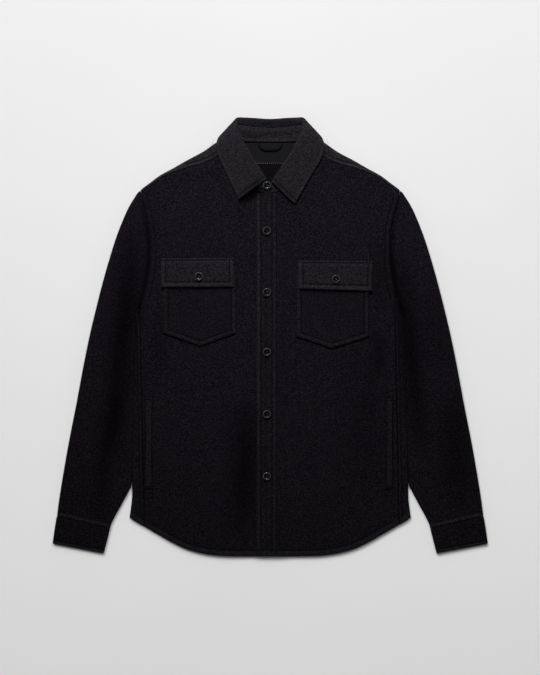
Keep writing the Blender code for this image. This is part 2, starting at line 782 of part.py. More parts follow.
def neck_facing():
    """The facing on the inside of the back neck."""
    x, y = panel(
        lambda y: np.full(np.shape(y), -FACING_HALF_WIDTH),
        lambda y: np.full(np.shape(y), FACING_HALF_WIDTH),
        lambda x: np.full(np.shape(x), FACING_Y[0]),
        lambda x: np.full(np.shape(x), FACING_Y[1]),
        shares(8),
        shares(6),
    )
    z = WALL + STACK_GAP + THIN_WALL / 2
    return flat_wall("neck_facing", x, y, np.full(x.shape, z), THIN_WALL, facing_cloth())


def neck_label():
    """The bare woven label on the facing."""
    x, y = rectangle(LABEL_X, LABEL_Y, 4, 3)
    z = WALL + STACK_GAP + THIN_WALL + STACK_GAP + THIN_WALL / 2
    return flat_wall("neck_label", x, y, np.full(x.shape, z), THIN_WALL, label_cloth())


def hanger_loop():
    """The hanging loop, a narrow band that sags between its two ends at the neck seam."""
    across = shares(12)[None, :]
    band = shares(2)[:, None]
    x = (2 * across - 1) * LOOP_HALF_WIDTH + 0 * band
    sag = 1 - (2 * across - 1) ** 4
    y = LOOP_Y[0] - (LOOP_Y[0] - LOOP_Y[1]) * sag + (band - 0.5) * LOOP_BAND
    z = WALL + STACK_GAP + THIN_WALL + STACK_GAP + LOOP_WALL / 2
    return flat_wall("hanger_loop", x, y, np.full(x.shape, z), LOOP_WALL, facing_cloth())


def chest_pocket(side):
    """A patch pocket with a pointed bottom, on the front."""
    sizes = POCKETS[side]
    point_x, point_y = sizes["point"]
    corners_x = (sizes["left"], point_x, sizes["right"])
    corners_y = (sizes["side_bottom"], point_y, sizes["side_bottom"])
    columns = np.concatenate([
        np.linspace(sizes["left"], point_x, 5),
        np.linspace(point_x, sizes["right"], 5)[1:],
    ])
    x = columns[None, :] + np.zeros((7, 1))
    low = np.interp(columns, corners_x, corners_y)
    y = low[None, :] + (sizes["top"] - low[None, :]) * shares(6)[:, None]
    z = BODY_HEIGHT + STACK_GAP + WALL / 2
    return flat_wall(f"chest_pocket_{side}", x, y, np.full(x.shape, z), WALL, wool())


def pocket_flap(side):
    """A pocket flap, sewn to the front along its top and lying on the pocket below that."""
    sizes = FLAPS[side]
    top, bottom = np.array(sizes["top"]), np.array(sizes["bottom"])
    down = np.array((0, 0.05, 0.14, 0.22, 0.4, 0.7, 1.0))
    across = shares(8)
    grid_top = top[0] + (top[1] - top[0]) * across[:, None]
    grid_bottom = bottom[0] + (bottom[1] - bottom[0]) * across[:, None]
    plan = np.array([grid_top * (1 - f) + grid_bottom * f for f in down[::-1]])
    rise = np.clip(down * np.linalg.norm(top[0] - bottom[0]) / FLAP_SLOPE, 0, 1)
    rise = (rise * rise * (3 - 2 * rise))[::-1]
    base = BODY_HEIGHT + STACK_GAP + WALL / 2
    z = base + rise[:, None] * (WALL + STACK_GAP) + np.zeros((1, len(across)))
    return flat_wall(f"pocket_flap_{side}", plan[..., 0], plan[..., 1], z, WALL, wool())


def side_welt(side):
    """The welt of a side pocket, on the front."""
    x_low, x_high, y_low, y_high = WELTS[side]
    x, y = rectangle((x_low, x_high), (y_low, y_high), 2, 6)
    z = BODY_HEIGHT + STACK_GAP + WELT_WALL / 2
    return flat_wall(f"side_welt_{side}", x, y, np.full(x.shape, z), WELT_WALL, wool())


def button_mesh(name, centre, bottom):
    """A turned button: a flat back, a rounded rim and a shallow bowl in its face."""
    radius = BUTTON_DIAMETER / 2
    profile = (
        (0.0, 0.0),
        (0.80 * radius, 0.0),
        (0.98 * radius, 0.35 * BUTTON_HEIGHT),
        (0.98 * radius, 0.75 * BUTTON_HEIGHT),
        (0.86 * radius, BUTTON_HEIGHT),
        (0.70 * radius, 0.92 * BUTTON_HEIGHT),
        (0.56 * radius, 0.62 * BUTTON_HEIGHT),
        (0.0, 0.55 * BUTTON_HEIGHT),
    )
    segments = 16
    points = [(centre[0], centre[1], bottom + profile[0][1])]
    for r, z in profile[1:-1]:
        for k in range(segments):
            angle = 2 * math.pi * k / segments
            points.append((centre[0] + r * math.cos(angle), centre[1] + r * math.sin(angle), bottom + z))
    points.append((centre[0], centre[1], bottom + profile[-1][1]))
    last = len(points) - 1
    faces = []
    for k in range(segments):
        after = (k + 1) % segments
        faces.append((0, 1 + after, 1 + k))
        for ring in range(len(profile) - 3):
            a = 1 + ring * segments
            faces.append((a + k, a + after, a + segments + after, a + segments + k))
        a = 1 + (len(profile) - 3) * segments
        faces.append((a + k, a + after, last))
    return add_object(name, points, faces, horn())


def buttons():
    """Six buttons down the front and one on each pocket flap."""
    on_placket = BODY_HEIGHT + STACK_GAP + PLACKET_WALL + STACK_GAP
    for number, y in enumerate(FRONT_BUTTON_Y, 1):
        button_mesh(f"front_button_{number}", (BUTTON_LINE, y), on_placket)
    on_flap = BODY_HEIGHT + 2 * (STACK_GAP + WALL) + STACK_GAP
    for side in ("right", "left"):
        button_mesh(f"pocket_button_{side}", FLAPS[side]["button"], on_flap)


def main():
    for old in list(bpy.data.objects):
        bpy.data.objects.remove(old, do_unlink=True)
    back_panel()
    back_yoke()
    for side in (-1, 1):
        front(side)
        sleeve(side)
        cuff(side)
    front_placket()
    collar_stand()
    collar_leaf()
    neck_facing()
    neck_label()
    hanger_loop()
    for side in ("right", "left"):
        chest_pocket(side)
        pocket_flap(side)
        side_welt(side)
    buttons()


main()
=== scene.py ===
"""A felted-wool shacket, laid flat on its back and buttoned up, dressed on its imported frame.

Lengths in the tables are millimetres, and MM turns them into metres. The wearer's right is at -X, the
collar at +Y, and the fronts face +Z.
"""

import json
import math

import bpy
import mathutils
import numpy as np
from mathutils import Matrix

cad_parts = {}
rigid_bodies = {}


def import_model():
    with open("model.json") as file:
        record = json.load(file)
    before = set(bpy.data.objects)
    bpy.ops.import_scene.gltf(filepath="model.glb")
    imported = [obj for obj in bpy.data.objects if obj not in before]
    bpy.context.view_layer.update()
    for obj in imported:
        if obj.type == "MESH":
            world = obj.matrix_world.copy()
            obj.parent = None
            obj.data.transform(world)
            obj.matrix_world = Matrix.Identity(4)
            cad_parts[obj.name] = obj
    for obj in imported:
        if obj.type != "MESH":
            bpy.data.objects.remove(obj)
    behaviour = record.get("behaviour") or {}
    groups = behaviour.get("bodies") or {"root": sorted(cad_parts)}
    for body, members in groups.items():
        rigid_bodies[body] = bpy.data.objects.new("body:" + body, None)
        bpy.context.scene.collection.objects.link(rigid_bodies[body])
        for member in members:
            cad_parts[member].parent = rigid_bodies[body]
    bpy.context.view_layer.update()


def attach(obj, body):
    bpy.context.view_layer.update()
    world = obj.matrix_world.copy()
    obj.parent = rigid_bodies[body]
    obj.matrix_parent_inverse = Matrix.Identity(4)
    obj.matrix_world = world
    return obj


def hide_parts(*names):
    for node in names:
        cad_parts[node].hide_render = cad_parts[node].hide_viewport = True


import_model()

MM = 0.001

WALL = 2.4
THIN_WALL = 1.0
PLACKET_WALL = 3.0
WELT_WALL = 2.0
LOOP_WALL = 1.4
SEAM_GAP = 0.3
CURVED_GAP = 0.6
STACK_GAP = 0.3
BODY_HEIGHT = 8.0
FRONT_MIDDLE = BODY_HEIGHT - WALL / 2
BACK_MIDDLE = WALL / 2
FOLD_RADIUS = (FRONT_MIDDLE - BACK_MIDDLE) / 2
FOLD_INSET = BODY_HEIGHT / 2

ARMPIT_Y = 50.0
BACK_YOKE_Y = 217.5
PLACKET_LEFT = -24.4
PLACKET_RIGHT = 11.3
PLACKET_TOP = 256.8
UNDERLAP_END = 10.0
LEFT_FRONT_RAISE = 2.7
LEFT_FRONT_RAMP = 24.0

BUTTON_LINE = -5.8
BUTTON_RADIUS = 7.5
BUTTON_HEIGHT = 3.0
FRONT_BUTTON_Y = (269.8, 188.9, 79.3, -27.3, -138.1, -248.7)

# Outer edge of the shoulder and sleeve: half width, y.
SHOULDER_AND_SLEEVE = (
    (70, 356), (84, 352.8), (98.3, 346), (119.7, 331), (149.2, 315.2), (173, 301.5),
    (196.6, 288.5), (214.4, 275.3), (233.2, 260.9), (243, 247.9), (256.3, 224.6), (273.8, 181.7),
    (288.6, 135.3), (301.1, 90.6), (314.3, 38.1), (324.5, -5.9), (334.9, -57.7), (347.2, -123.8),
    (359.2, -184.6), (369.4, -241.8), (377.6, -293.6), (381, -320.4),
)
SHOULDER_POINT = 8
NECK_POINT = 0.6

# Inner edge of the sleeve, where it touches the body, and both edges of the cuff: half width, y.
SLEEVE_INNER = (
    (237.2, 52), (238.6, 30), (241.2, -5.9), (243, -80), (244.8, -166.7), (246.8, -256),
    (252.8, -275), (263.8, -296), (282.3, -330.5), (286, -342.6),
)
CUFF_OUTER = ((381.6, -321), (385.4, -344), (389, -369.7))
CUFF_INNER = ((286.4, -343.3), (291, -362), (297.5, -387.2))

# Armhole seam and side of the body: y, half width.
ARMHOLE = (
    (47, 235.6), (67.4, 226.9), (96, 219.1), (129.9, 214.4), (163.9, 214.3), (194.2, 216.2),
    (222.8, 222.6), (246, 229.4), (257.6, 231.6),
)
BODY_SIDE = (
    (-330, 251.6), (-324.3, 251.2), (-288.2, 247), (-256.1, 246.9), (-166.7, 245.2), (-5.9, 241.3),
    (38.8, 238.6), (60, 237.6),
)
# Forward side seam: y, half width on the wearer's right, half width on the left.
SIDE_SEAM = ((-345, 224.8, 230), (-160, 228.6, 227), (0, 232, 224), (40, 233, 223.6))
# Hem: half width, y.
HEM = (
    (0, -392.2), (53.6, -392), (98.3, -390.2), (123.3, -386.3), (150.1, -378.9), (175.1, -367.3),
    (201.9, -352.1), (228.7, -336.6), (251.4, -324.3),
)
# Width of the yoke's strip on the front: share of the shoulder from the neck, width.
YOKE_STRIP = ((0, 20), (0.16, 18), (0.36, 13.5), (0.50, 7.5), (0.66, 2.6), (0.80, 1), (1, 0.9))
# Necklines of the fronts and of the back: half width, y.
FRONT_NECKLINE = (
    (0, 257.4), (20, 259.5), (32, 264.5), (45, 273.5), (56, 285.5), (66, 302),
    (73, 322), (76, 340),
)
BACK_NECKLINE = ((0, 350.2), (47, 350.3), (60, 351), (80, 352))

# The collar's sections from the wearer's right front round the back to the left: the fold's x, y and z,
# half the gap between its layers, how far the leaf has turned over, the leaf's edge, and the neck seam.
COLLAR = (
    (-9.4, 277.8, 10, 3.1, 0, -56.2, 244.3, 10.4, -13, 258.6, 7),
    (-20, 296.5, 11.5, 3, 0, -65.5, 264, 10, -40, 271.5, 7),
    (-31.5, 313.5, 13, 3, 0, -74.5, 283, 9.9, -54, 285.5, 7),
    (-42.5, 332, 14, 3, 5, -84.5, 304, 9.9, -63.5, 303.5, 7.2),
    (-51.5, 349, 14, 3, 10, -92.5, 321, 9.9, -69.5, 323, 7.4),
    (-59, 365, 12.5, 3, 25, -96.5, 334, 9.9, -69.5, 340, 7.4),
    (-61.5, 377, 10, 3, 50, -96, 346, 8.6, -66, 348.5, 6.6),
    (-58.5, 387.3, 6.5, 2.9, 100, -88, 359, 3.6, -60, 352, 5),
    (-48, 388.3, 4.2, 2.8, 150, -66, 358, 1.4, -50, 349.6, 4.4),
    (-30, 387.3, 4, 2.8, 180, -38, 352, 1.2, -31, 348.2, 4.3),
    (0, 385.4, 4, 2.8, 180, 0, 351, 1.2, 0, 348, 4.3),
    (30, 387.3, 4, 2.8, 180, 38, 352, 1.2, 31, 348.2, 4.3),
    (48, 388.3, 4.2, 2.8, 210, 66, 358, 1.4, 50, 349.6, 4.4),
    (58.5, 387.3, 6.5, 2.9, 260, 88, 359, 3.6, 60, 352, 5),
    (61.5, 377, 10, 3, 310, 96, 346, 8.6, 66, 348.5, 6.6),
    (59, 365, 12.5, 3, 335, 96.5, 334, 9.9, 69.5, 340, 7.4),
    (51.5, 349, 14, 3, 350, 92.5, 320, 9.9, 69.5, 323, 7.4),
    (42.5, 331, 14.2, 3, 355, 82.5, 302, 9.9, 63.5, 303.5, 7.4),
    (30, 311.5, 13.6, 2.6, 360, 70, 281, 9.9, 54, 285.5, 7.6),
    (17.5, 294.5, 12.4, 2.2, 360, 57, 259, 10, 40, 271.5, 8.2),
    (3.8, 274.2, 11.4, 1.7, 360, 43.7, 236.4, 10.6, 13, 258.6, 9.7),
)
LEAF_TURN_IN = 12.0
STAND_OVERLAP_X = -23.5
STAND_UNDERLAP_X = 7.5

POCKETS = {
    "right": {"left": -190.6, "right": -61, "top": 124, "side_bottom": 6.6, "point": (-124.5, -17)},
    "left": {"left": 47.1, "right": 176.3, "top": 121, "side_bottom": 0.2, "point": (110.5, -20.7)},
}
FLAPS = {
    "right": {
        "top": ((-195, 139.9), (-65.1, 140.6)),
        "bottom": ((-194.3, 88.1), (-63.7, 88.6)),
        "button": (-127.3, 107.4),
    },
    "left": {
        "top": ((49.8, 136.2), (183.1, 134.6)),
        "bottom": ((51, 85.2), (181.6, 81.1)),
        "button": (117.1, 102.8),
    },
}
FLAP_SLOPE = 11.0
WELTS = {"right": (-223, -211, -270.4, -109.5), "left": (207.4, 218.4, -270.4, -111.3)}

FACING_HALF_WIDTH = 60.0
FACING_Y = (262, 346.6)
LABEL_X = (-27.1, 28.3)
LABEL_Y = (266, 312.2)
LOOP_HALF_WIDTH = 21.5
LOOP_BAND = 5.0
LOOP_Y = (343, 333.5)

# Distance of each line of stitches from its edge.
PLACKET_STITCH = 8.0
HEM_STITCH = 10.5
ARMHOLE_STITCH = 9.0
YOKE_STITCH = 6.5
SIDE_STITCH = 5.5
POCKET_STITCH = 8.5
FLAP_SIDE_STITCH = 8.2
FLAP_TOP_STITCH = 3.8
FLAP_BOTTOM_STITCH = 9.0
CUFF_STITCH = 6.0
CUFF_SEAM_RIDGE = 8.0
LEAF_STITCH = 6.5

RIDGE = 0.55     # how far the cloth swells between an edge and its stitches
VALLEY = 0.65    # how far it sinks along them
VALLEY_WIDTH = 1.5
# Height at which the upper layers begin to rise by the drape, and that over which they do.
DRAPE_START = 4.8
DRAPE_RISE = 1.8
FAR = 99.0        # the distance of what has no stitches or edge near it
PATH_POINTS = 24  # points on the curve of a crease
RIM_POINTS = 90   # and on that of an edge
STITCH_PITCH = 3.6
STITCH_LENGTH = 2.6
THREAD_RADIUS = 0.28
LABEL_THREAD_RADIUS = 0.42

# Distances from a stitched edge at which the grid has a line, so that the seam's relief has its shape.
EDGE_STEPS = np.array([0, 0.25, 0.7, 1.3, 2.2, 3.2, 4.3, 5.4, 6.4, 7.3, 8.1, 8.9, 9.8, 11, 12.6, 15, 18.5])

# Soft creases: their path, half width and depth. A negative depth is a ridge.
CREASES = (
    (((-258, 245), (-278, 140), (-297, 0), (-308, -100), (-318, -200),
      (-330, -305)), 30, -5),
    (((-222, 225), (-218, 160), (-222, 95), (-236, 45), (-243, -30)), 15, 1.7),
    (((-246, -60), (-254, -160), (-262, -235)), 12, 1),
    (((-258, 60), (-262, 0), (-276, -60)), 8, 0.9),
    (((258, 240), (277, 155), (300, 12), (321, -113), (334, -225),
      (343, -312)), 30, -5),
    (((228, 190), (234, 110), (253.5, -5.9), (262.4, -68.4), (267.8, -136.3),
      (275, -215)), 16, 2.2),
    (((346, -120), (356, -190), (366, -250), (371, -300)), 12, 1),
    (((-110, -90), (-112, -200), (-105, -300), (-95, -400)), 62, -3.2),
    (((96, -120), (100, -220), (98, -320), (90, -400)), 58, -2.8),
    (((-38, -190), (-42, -260), (-43, -330), (-40, -385)), 17, 1.1),
    (((186, 20), (197, -45), (192, -110)), 15, 1.4),
    (((140, -250), (160, -285), (190, -300)), 16, 0.8),
    (((-130, 230), (-150, 190), (-158, 150)), 34, -1.2),
    (((118, 235), (140, 190), (150, 150)), 34, -1.2),
    (((-198, 60), (-186, 10), (-196, -50)), 14, 0.8),
    (((-70, 10), (-85, -60), (-60, -130)), 24, -0.8),
    (((60, 0), (75, -60), (110, -95)), 22, -0.8),
    (((-60, -382), (-44, -358), (-30, -334)), 7, -1),
    (((-330, -215), (-310, -245), (-285, -252)), 9, 0.7),
    (((300, -250), (325, -262), (350, -258)), 9, 0.7),
)

# Painted shade in the folds, along the seams, and under and beside the pieces that lie over others, as path,
# half width, and share of the light that it takes.
PAINTED_SHADE = (
    (((-222.5, -400), (-228.6, -160), (-232, 0), (-233.6, 90)), 1.5, 0.62),
    (((231, -400), (227, -160), (224, 0), (223.4, 90)), 1.5, 0.62),
    *((tuple((side * x, y) for x, y in (
        (243, 20), (229, 68), (218, 129.9), (217, 175), (225, 224), (234, 256),
    )), 5, 0.60) for side in (-1, 1)),
    (((-214, 84), (-130, 85), (-48, 86)), 2.6, 0.65),
    (((32, 83), (115, 80.3), (200, 77.6)), 2.6, 0.65),
    *((((x, -300), (x, -190), (x, -80)), 1.1, 0.75) for x in (-223, -211, 207.4, 218.4)),
    (((-58, 236), (-38, 249), (-12, 264)), 8, 0.85),
    (((-58, 382), (0, 380), (58, 382)), 6, 0.50),
    (((-42, 268), (-8, 264), (22, 268)), 8, 0.50),
    (((-244, 210), (-250, 130), (-256, 60), (-264, 0), (-269, -68), (-277, -138),
      (-290, -215)), 24, 0.68),
    (((-274, -90), (-280, -150), (-293, -222), (-303, -278), (-314, -345)), 17, 0.42),
    (((226, 160), (239, 70), (249, -20), (257, -90), (264, -150), (270, -215)),
     20, 0.64),
    (((322, -90), (328, -170), (332, -240), (336, -310)), 30, 0.42),
    (((-44, -110), (-44, -200), (-47, -280), (-52, -365)), 25, 0.60),
    (((192, 175), (196, 110), (194, 40)), 16, 0.25),
    (((-196, 60), (-200, -20), (-196, -90)), 16, 0.22),
    (((170, 0), (166, -120), (172, -280)), 36, 0.24),
    (((186, 20), (197, -35), (192, -80)), 13, 0.35),
    (((284, 90), (292, 10), (300, -70)), 22, 0.22),
)


def smooth(t):
    """A smooth step from 0 to 1: three t squared less two t cubed."""
    t = np.clip(t, 0, 1)
    return t * t * (3 - 2 * t)


def through(table, at, column=1):
    """A smooth curve through the rows of a table, from its first column to another.

    Between two rows it is a cubic whose slope at each row is that of the line between its neighbours.
    """
    rows = np.array([[row[0], row[column]] for row in table], float)
    known, values = rows[:, 0], rows[:, 1]
    slopes = np.gradient(values, known)
    at = np.clip(np.asarray(at, float), known[0], known[-1])
    i = np.clip(np.searchsorted(known, at) - 1, 0, len(known) - 2)
    step = known[i + 1] - known[i]
    t = (at - known[i]) / step
    return (
        (2 * t**3 - 3 * t**2 + 1) * values[i]
        + (t**3 - 2 * t**2 + t) * step * slopes[i]
        + (3 * t**2 - 2 * t**3) * values[i + 1]
        + (t**3 - t**2) * step * slopes[i + 1]
    )


def along(points, at):
    """Places along a smooth curve through points, at row numbers that may lie between two rows."""
    points = np.array(points, float)
    rows = np.arange(len(points))
    columns = [through(np.column_stack([rows, points[:, k]]), at) for k in range(points.shape[1])]
    return np.stack(columns, -1)


def spread(points, first, last, shares):
    """Row numbers from first to last at shares of the distance along the curve through points."""
    fine = np.linspace(first, last, 800)
    steps = np.linalg.norm(np.diff(along(points, fine), axis=0), axis=1)
    length = np.concatenate([[0], np.cumsum(steps)])
    return np.interp(np.asarray(shares) * length[-1], length, fine)


def unit(vectors):
    return vectors / np.maximum(np.linalg.norm(vectors, axis=-1, keepdims=True), 1e-9)


def shares_of(length, step=5, first=True, last=True):
    """Shares of a length: close lines near the stitched ends, and one every step between them."""
    start = EDGE_STEPS if first else EDGE_STEPS[:1]
    end = EDGE_STEPS if last else EDGE_STEPS[:1]
    count = max(2, int((length - start[-1] - end[-1]) / step))
    middle = np.linspace(start[-1], length - end[-1], count + 1)[1:-1]
    return np.concatenate([start, middle, length - end[::-1]]) / length


def nearest(points, path):
    """Distance from each point to a path of straight steps, and the share of its length at that place."""
    flat = points.reshape(-1, points.shape[-1])
    path = np.asarray(path, float)
    steps = np.diff(path, axis=0)
    lengths = np.maximum(np.linalg.norm(steps, axis=1), 1e-9)
    walked = np.concatenate([[0], np.cumsum(lengths)])
    least = np.full(len(flat), np.inf)
    share = np.zeros(len(flat))
    for start, step, length, before in zip(path[:-1], steps, lengths, walked):
        t = np.clip((flat - start) @ step / length**2, 0, 1)
        gap = np.linalg.norm(flat - start - t[:, None] * step, axis=1)
        closer = gap < least
        least[closer] = gap[closer]
        share[closer] = (before + t[closer] * length) / walked[-1]
    return least.reshape(points.shape[:-1]), share.reshape(points.shape[:-1])


def between(first, second, share):
    """The value at a share of the way from the first to the second."""
    return first * (1 - share) + second * share


def bell_curve(x, y, path, width, margin, power):
    """A bell curve of each place's distance to a smooth path, which fades towards the path's two ends."""
    places = np.stack(np.broadcast_arrays(x, y), -1).astype(float)
    gap, share = nearest(places, along(path, np.linspace(0, len(path) - 1, PATH_POINTS)))
    fade = np.sin(math.pi * np.clip(share, margin, 1 - margin)) ** power
    return fade * np.exp(-((gap / width) ** 2))


def drape(x, y):
    """Height of the cloth's soft waves and creases at a place, added to every upper layer.

    It is a sum of long sine waves, less each crease's depth times its bell curve.
    """
    height = 0.30 * np.sin(x / 37 + 1.3) * np.sin(y / 53 + 0.4)
    height = height + 0.16 * np.sin(x / 19 - y / 41 + 2.1) + 0.12 * np.sin(x / 61 + y / 23 + 0.7)
    for path, width, depth in CREASES:
        height = height - depth * bell_curve(x, y, path, width, 0.04, 0.5)
    return height


def closed_nap(x, y):
    """Share of light taken by painted shade: each place's strength times its bell curve."""
    lost = sum(strength * bell_curve(x, y, path, width, 0, 0.7) for path, width, strength in PAINTED_SHADE)
    return np.clip(lost, 0, 0.8)


def surface_normals(grid, closed=False, cells=None):
    """Unit normals of a grid of points: at each point the mean of its cells' normals."""
    if closed:
        grid = np.concatenate([grid[:, -1:], grid, grid[:, :1]], axis=1)
    faces = np.cross(grid[:-1, 1:] - grid[1:, :-1], grid[1:, 1:] - grid[:-1, :-1])
    faces = unit(faces)
    if cells is not None:
        faces = faces * cells[..., None]
    total = np.zeros_like(grid)
    rows, columns = faces.shape[:2]
    for i, j in ((0, 0), (0, 1), (1, 0), (1, 1)):
        total[i:i + rows, j:j + columns] += faces
    if closed:
        total = total[:, 1:-1]
    return unit(total)


def grid_faces(rows, columns, closed=False, cells=None):
    """Four-sided faces between neighbouring points of a grid, as rows of point numbers."""
    index = np.arange(rows * columns).reshape(rows, columns)
    if closed:
        index = np.concatenate([index, index[:, :1]], axis=1)
    faces = np.stack([index[:-1, :-1], index[:-1, 1:], index[1:, 1:], index[1:, :-1]], -1)
    if cells is not None:
        return faces[cells]
    return faces.reshape(-1, 4)


def shell_faces(rows, columns, closed=False, cells=None):
    """Faces of a closed shell between two grids: both sides, and a strip round every open edge."""
    count = rows * columns
    top = grid_faces(rows, columns, closed, cells)
    ends = np.stack([top, np.roll(top, -1, axis=1)], -1).reshape(-1, 2)
    forward = ends[:, 0] * count + ends[:, 1]
    backward = ends[:, 1] * count + ends[:, 0]
    rim = ends[~np.isin(forward, backward)]
    strip = np.column_stack([rim[:, 1], rim[:, 0], rim[:, 0] + count, rim[:, 1] + count])
    return np.concatenate([top, top[:, ::-1] + count, strip])


def add_mesh(name, points, faces, surface, attributes=()):
    """One named object in the frame, from points in millimetres and faces of three or four points."""
    used, faces = np.unique(faces, return_inverse=True)
    # numpy 1 gives the corners in one row, and they are grouped by fours, in the buttons' triangles too.
    faces = faces.reshape(-1, faces.shape[-1] if faces.ndim > 1 else 4)
    points = np.asarray(points, float)[used] * MM
    mesh = bpy.data.meshes.new(name)
    mesh.vertices.add(len(points))
    mesh.vertices.foreach_set("co", points.ravel())
    mesh.loops.add(faces.size)
    mesh.loops.foreach_set("vertex_index", faces.ravel())
    mesh.polygons.add(len(faces))
    mesh.polygons.foreach_set("loop_start", np.arange(len(faces)) * faces.shape[1])
    mesh.update(calc_edges=True)
    mesh.validate()
    for title, values in attributes:
        layer = mesh.attributes.new(title, "FLOAT", "POINT")
        layer.data.foreach_set("value", np.asarray(values, np.float32).ravel()[used])
    mesh.materials.append(surface)
    mesh.shade_smooth()
    made = bpy.data.objects.new(name, mesh)
    bpy.context.scene.collection.objects.link(made)
    return made


def thinned(path):
    """The path with no more than RIM_POINTS of its points, its two ends among them."""
    path = np.asarray(path, float)
    rows = np.unique(np.linspace(0, len(path) - 1, min(RIM_POINTS, len(path))).round().astype(int))
    return path[rows]


class Cloth:
    """A finished piece of cloth: its object, and the points of its upper side."""

    def __init__(self, made, top):
        self.made = made
        self.top = top

    def height(self, plan):
        """Height of the outer side at plan points: that of the nearest three points of its grid."""
        result = np.zeros(len(plan))
        for part in np.array_split(np.arange(len(plan)), max(1, len(plan) // 100)):
            gap = np.sum((plan[part, None] - self.top[None, :, :2]) ** 2, axis=-1)
            close = np.argpartition(gap, 3, axis=1)[:, :3]
            weight = 1 / (np.take_along_axis(gap, close, 1) + 1e-3)
            result[part] = np.sum(weight * self.top[close, 2], axis=1) / np.sum(weight, axis=1)
        return result


def cloth(name, grid, thickness, surface, bands=(), threads=(), closed=False, cells=None, rims=None, lift=0,
          nap=0):
    """A closed piece of cloth on a grid of points through its middle.

    What lies over DRAPE_START rises by the drape. The wall's half thickness is that of half an ellipse
    near each open edge. The outer side swells as half a sine wave over each band between an edge and its
    stitches, and sinks by a bell curve along the stitches. bands are an edge's plan path, the distance of
    its stitches, and the strength of the painted highlight on the swell between them. threads are the
    stitches' plan paths. The points carry a painted sheen, set for the whole piece by the last argument
    and raised by that highlight, and the painted shade of the folds.
    """
    if rims is None and closed:
        rims = [np.concatenate([rim, rim[:1]]) for rim in (grid[0], grid[-1])]
    elif rims is None:
        rims = [grid[0], grid[-1], grid[:, 0], grid[:, -1]]
    rim_gap = np.min([nearest(grid, thinned(rim))[0] for rim in rims], axis=0)
    grid = grid.copy()
    plan, x, y = grid[..., :2], grid[..., 0], grid[..., 1]
    grid[..., 2] += (drape(x, y) + lift) * smooth((grid[..., 2] - DRAPE_START) / DRAPE_RISE)
    normals = surface_normals(grid, closed, cells)
    up = np.clip(normals[..., 2], 0, 1)
    half = thickness / 2
    rounded = np.sqrt(np.clip(1 - (1 - np.clip(rim_gap / half, 0, 1)) ** 2, 0.03, 1)) * half
    band = np.full(x.shape, FAR)
    thread = np.full(x.shape, FAR)
    painted_seam_light = np.zeros(x.shape)
    for path, width, ridge_highlight in bands:
        share = nearest(plan, thinned(path)[:, :2])[0] / width
        painted_seam_light = np.where(share < band, ridge_highlight, painted_seam_light)
        band = np.minimum(band, share)
    for path in threads:
        thread = np.minimum(thread, nearest(plan, thinned(path)[:, :2])[0])
    ridge = np.sin(math.pi * np.clip(band, 0, 1))
    relief = RIDGE * ridge - VALLEY * np.exp(-((thread / VALLEY_WIDTH) ** 2))
    outer = grid + normals * (rounded + relief * up)[..., None]
    inner = grid - normals * rounded[..., None]
    outer[..., 2] = np.maximum(outer[..., 2], 0)
    shown = up > 0.3
    # The points carry a painted sheen, lighter on some pieces and on the swells by their edges, and painted
    # shade in the folds and under and beside other pieces.
    values = {
        "nap": nap + painted_seam_light * ridge * shown,
        "thread": np.where(shown, thread, FAR),
        "closed": closed_nap(x, y),
    }
    attributes = [(title, np.tile(value.ravel(), 2)) for title, value in values.items()]
    points = np.concatenate([outer.reshape(-1, 3), inner.reshape(-1, 3)])
    made = add_mesh(name, points, shell_faces(*x.shape, closed, cells), surface, attributes)
    return Cloth(made, outer[up > 0.5])


def sewn(name, grid, thickness, bands, threads, **settings):
    """A piece of felted wool and the stitches along its threads."""
    piece = cloth(f"{name}_cloth", grid, thickness, felted_wool(), bands, threads, **settings)
    stitching(f"{name}_stitches", piece, threads)
    return piece


def offset(path, distance):
    """A plan path moved sideways to its left by a distance, its corners kept as mitres."""
    path = np.asarray(path, float)[:, :2]
    steps = unit(np.diff(path, axis=0))
    left = np.column_stack([-steps[:, 1], steps[:, 0]])
    before = np.concatenate([left[:1], left])
    after = np.concatenate([left, left[-1:]])
    spare = 1 + np.sum(before * after, axis=1, keepdims=True)
    return path + distance * (before + after) / spare


def stitching(name, piece, lines, surface=None):
    """Lock stitches along plan lines on a piece of cloth, each a short bar of thread with sunk ends.

    A stitch is four rings of four points along its length, the two end rings small.
    """
    starts, ends = [], []
    for line in lines:
        line = np.asarray(line, float)[:, :2]
        walked = np.concatenate([[0], np.cumsum(np.linalg.norm(np.diff(line, axis=0), axis=1))])
        count = max(1, int(walked[-1] / STITCH_PITCH))
        first = (np.arange(count) + 0.5) * walked[-1] / count - STITCH_LENGTH / 2
        for at, found in ((first, starts), (first + STITCH_LENGTH, ends)):
            found.append(np.column_stack([np.interp(at, walked, line[:, k]) for k in (0, 1)]))
    starts, ends = np.concatenate(starts), np.concatenate(ends)
    start = np.column_stack([starts, piece.height(starts)])
    end = np.column_stack([ends, piece.height(ends)])
    if surface:
        return bars(name, start, end, LABEL_THREAD_RADIUS, 0.3, surface)
    return bars(name, start, end, THREAD_RADIUS, 0.1, wool_thread())


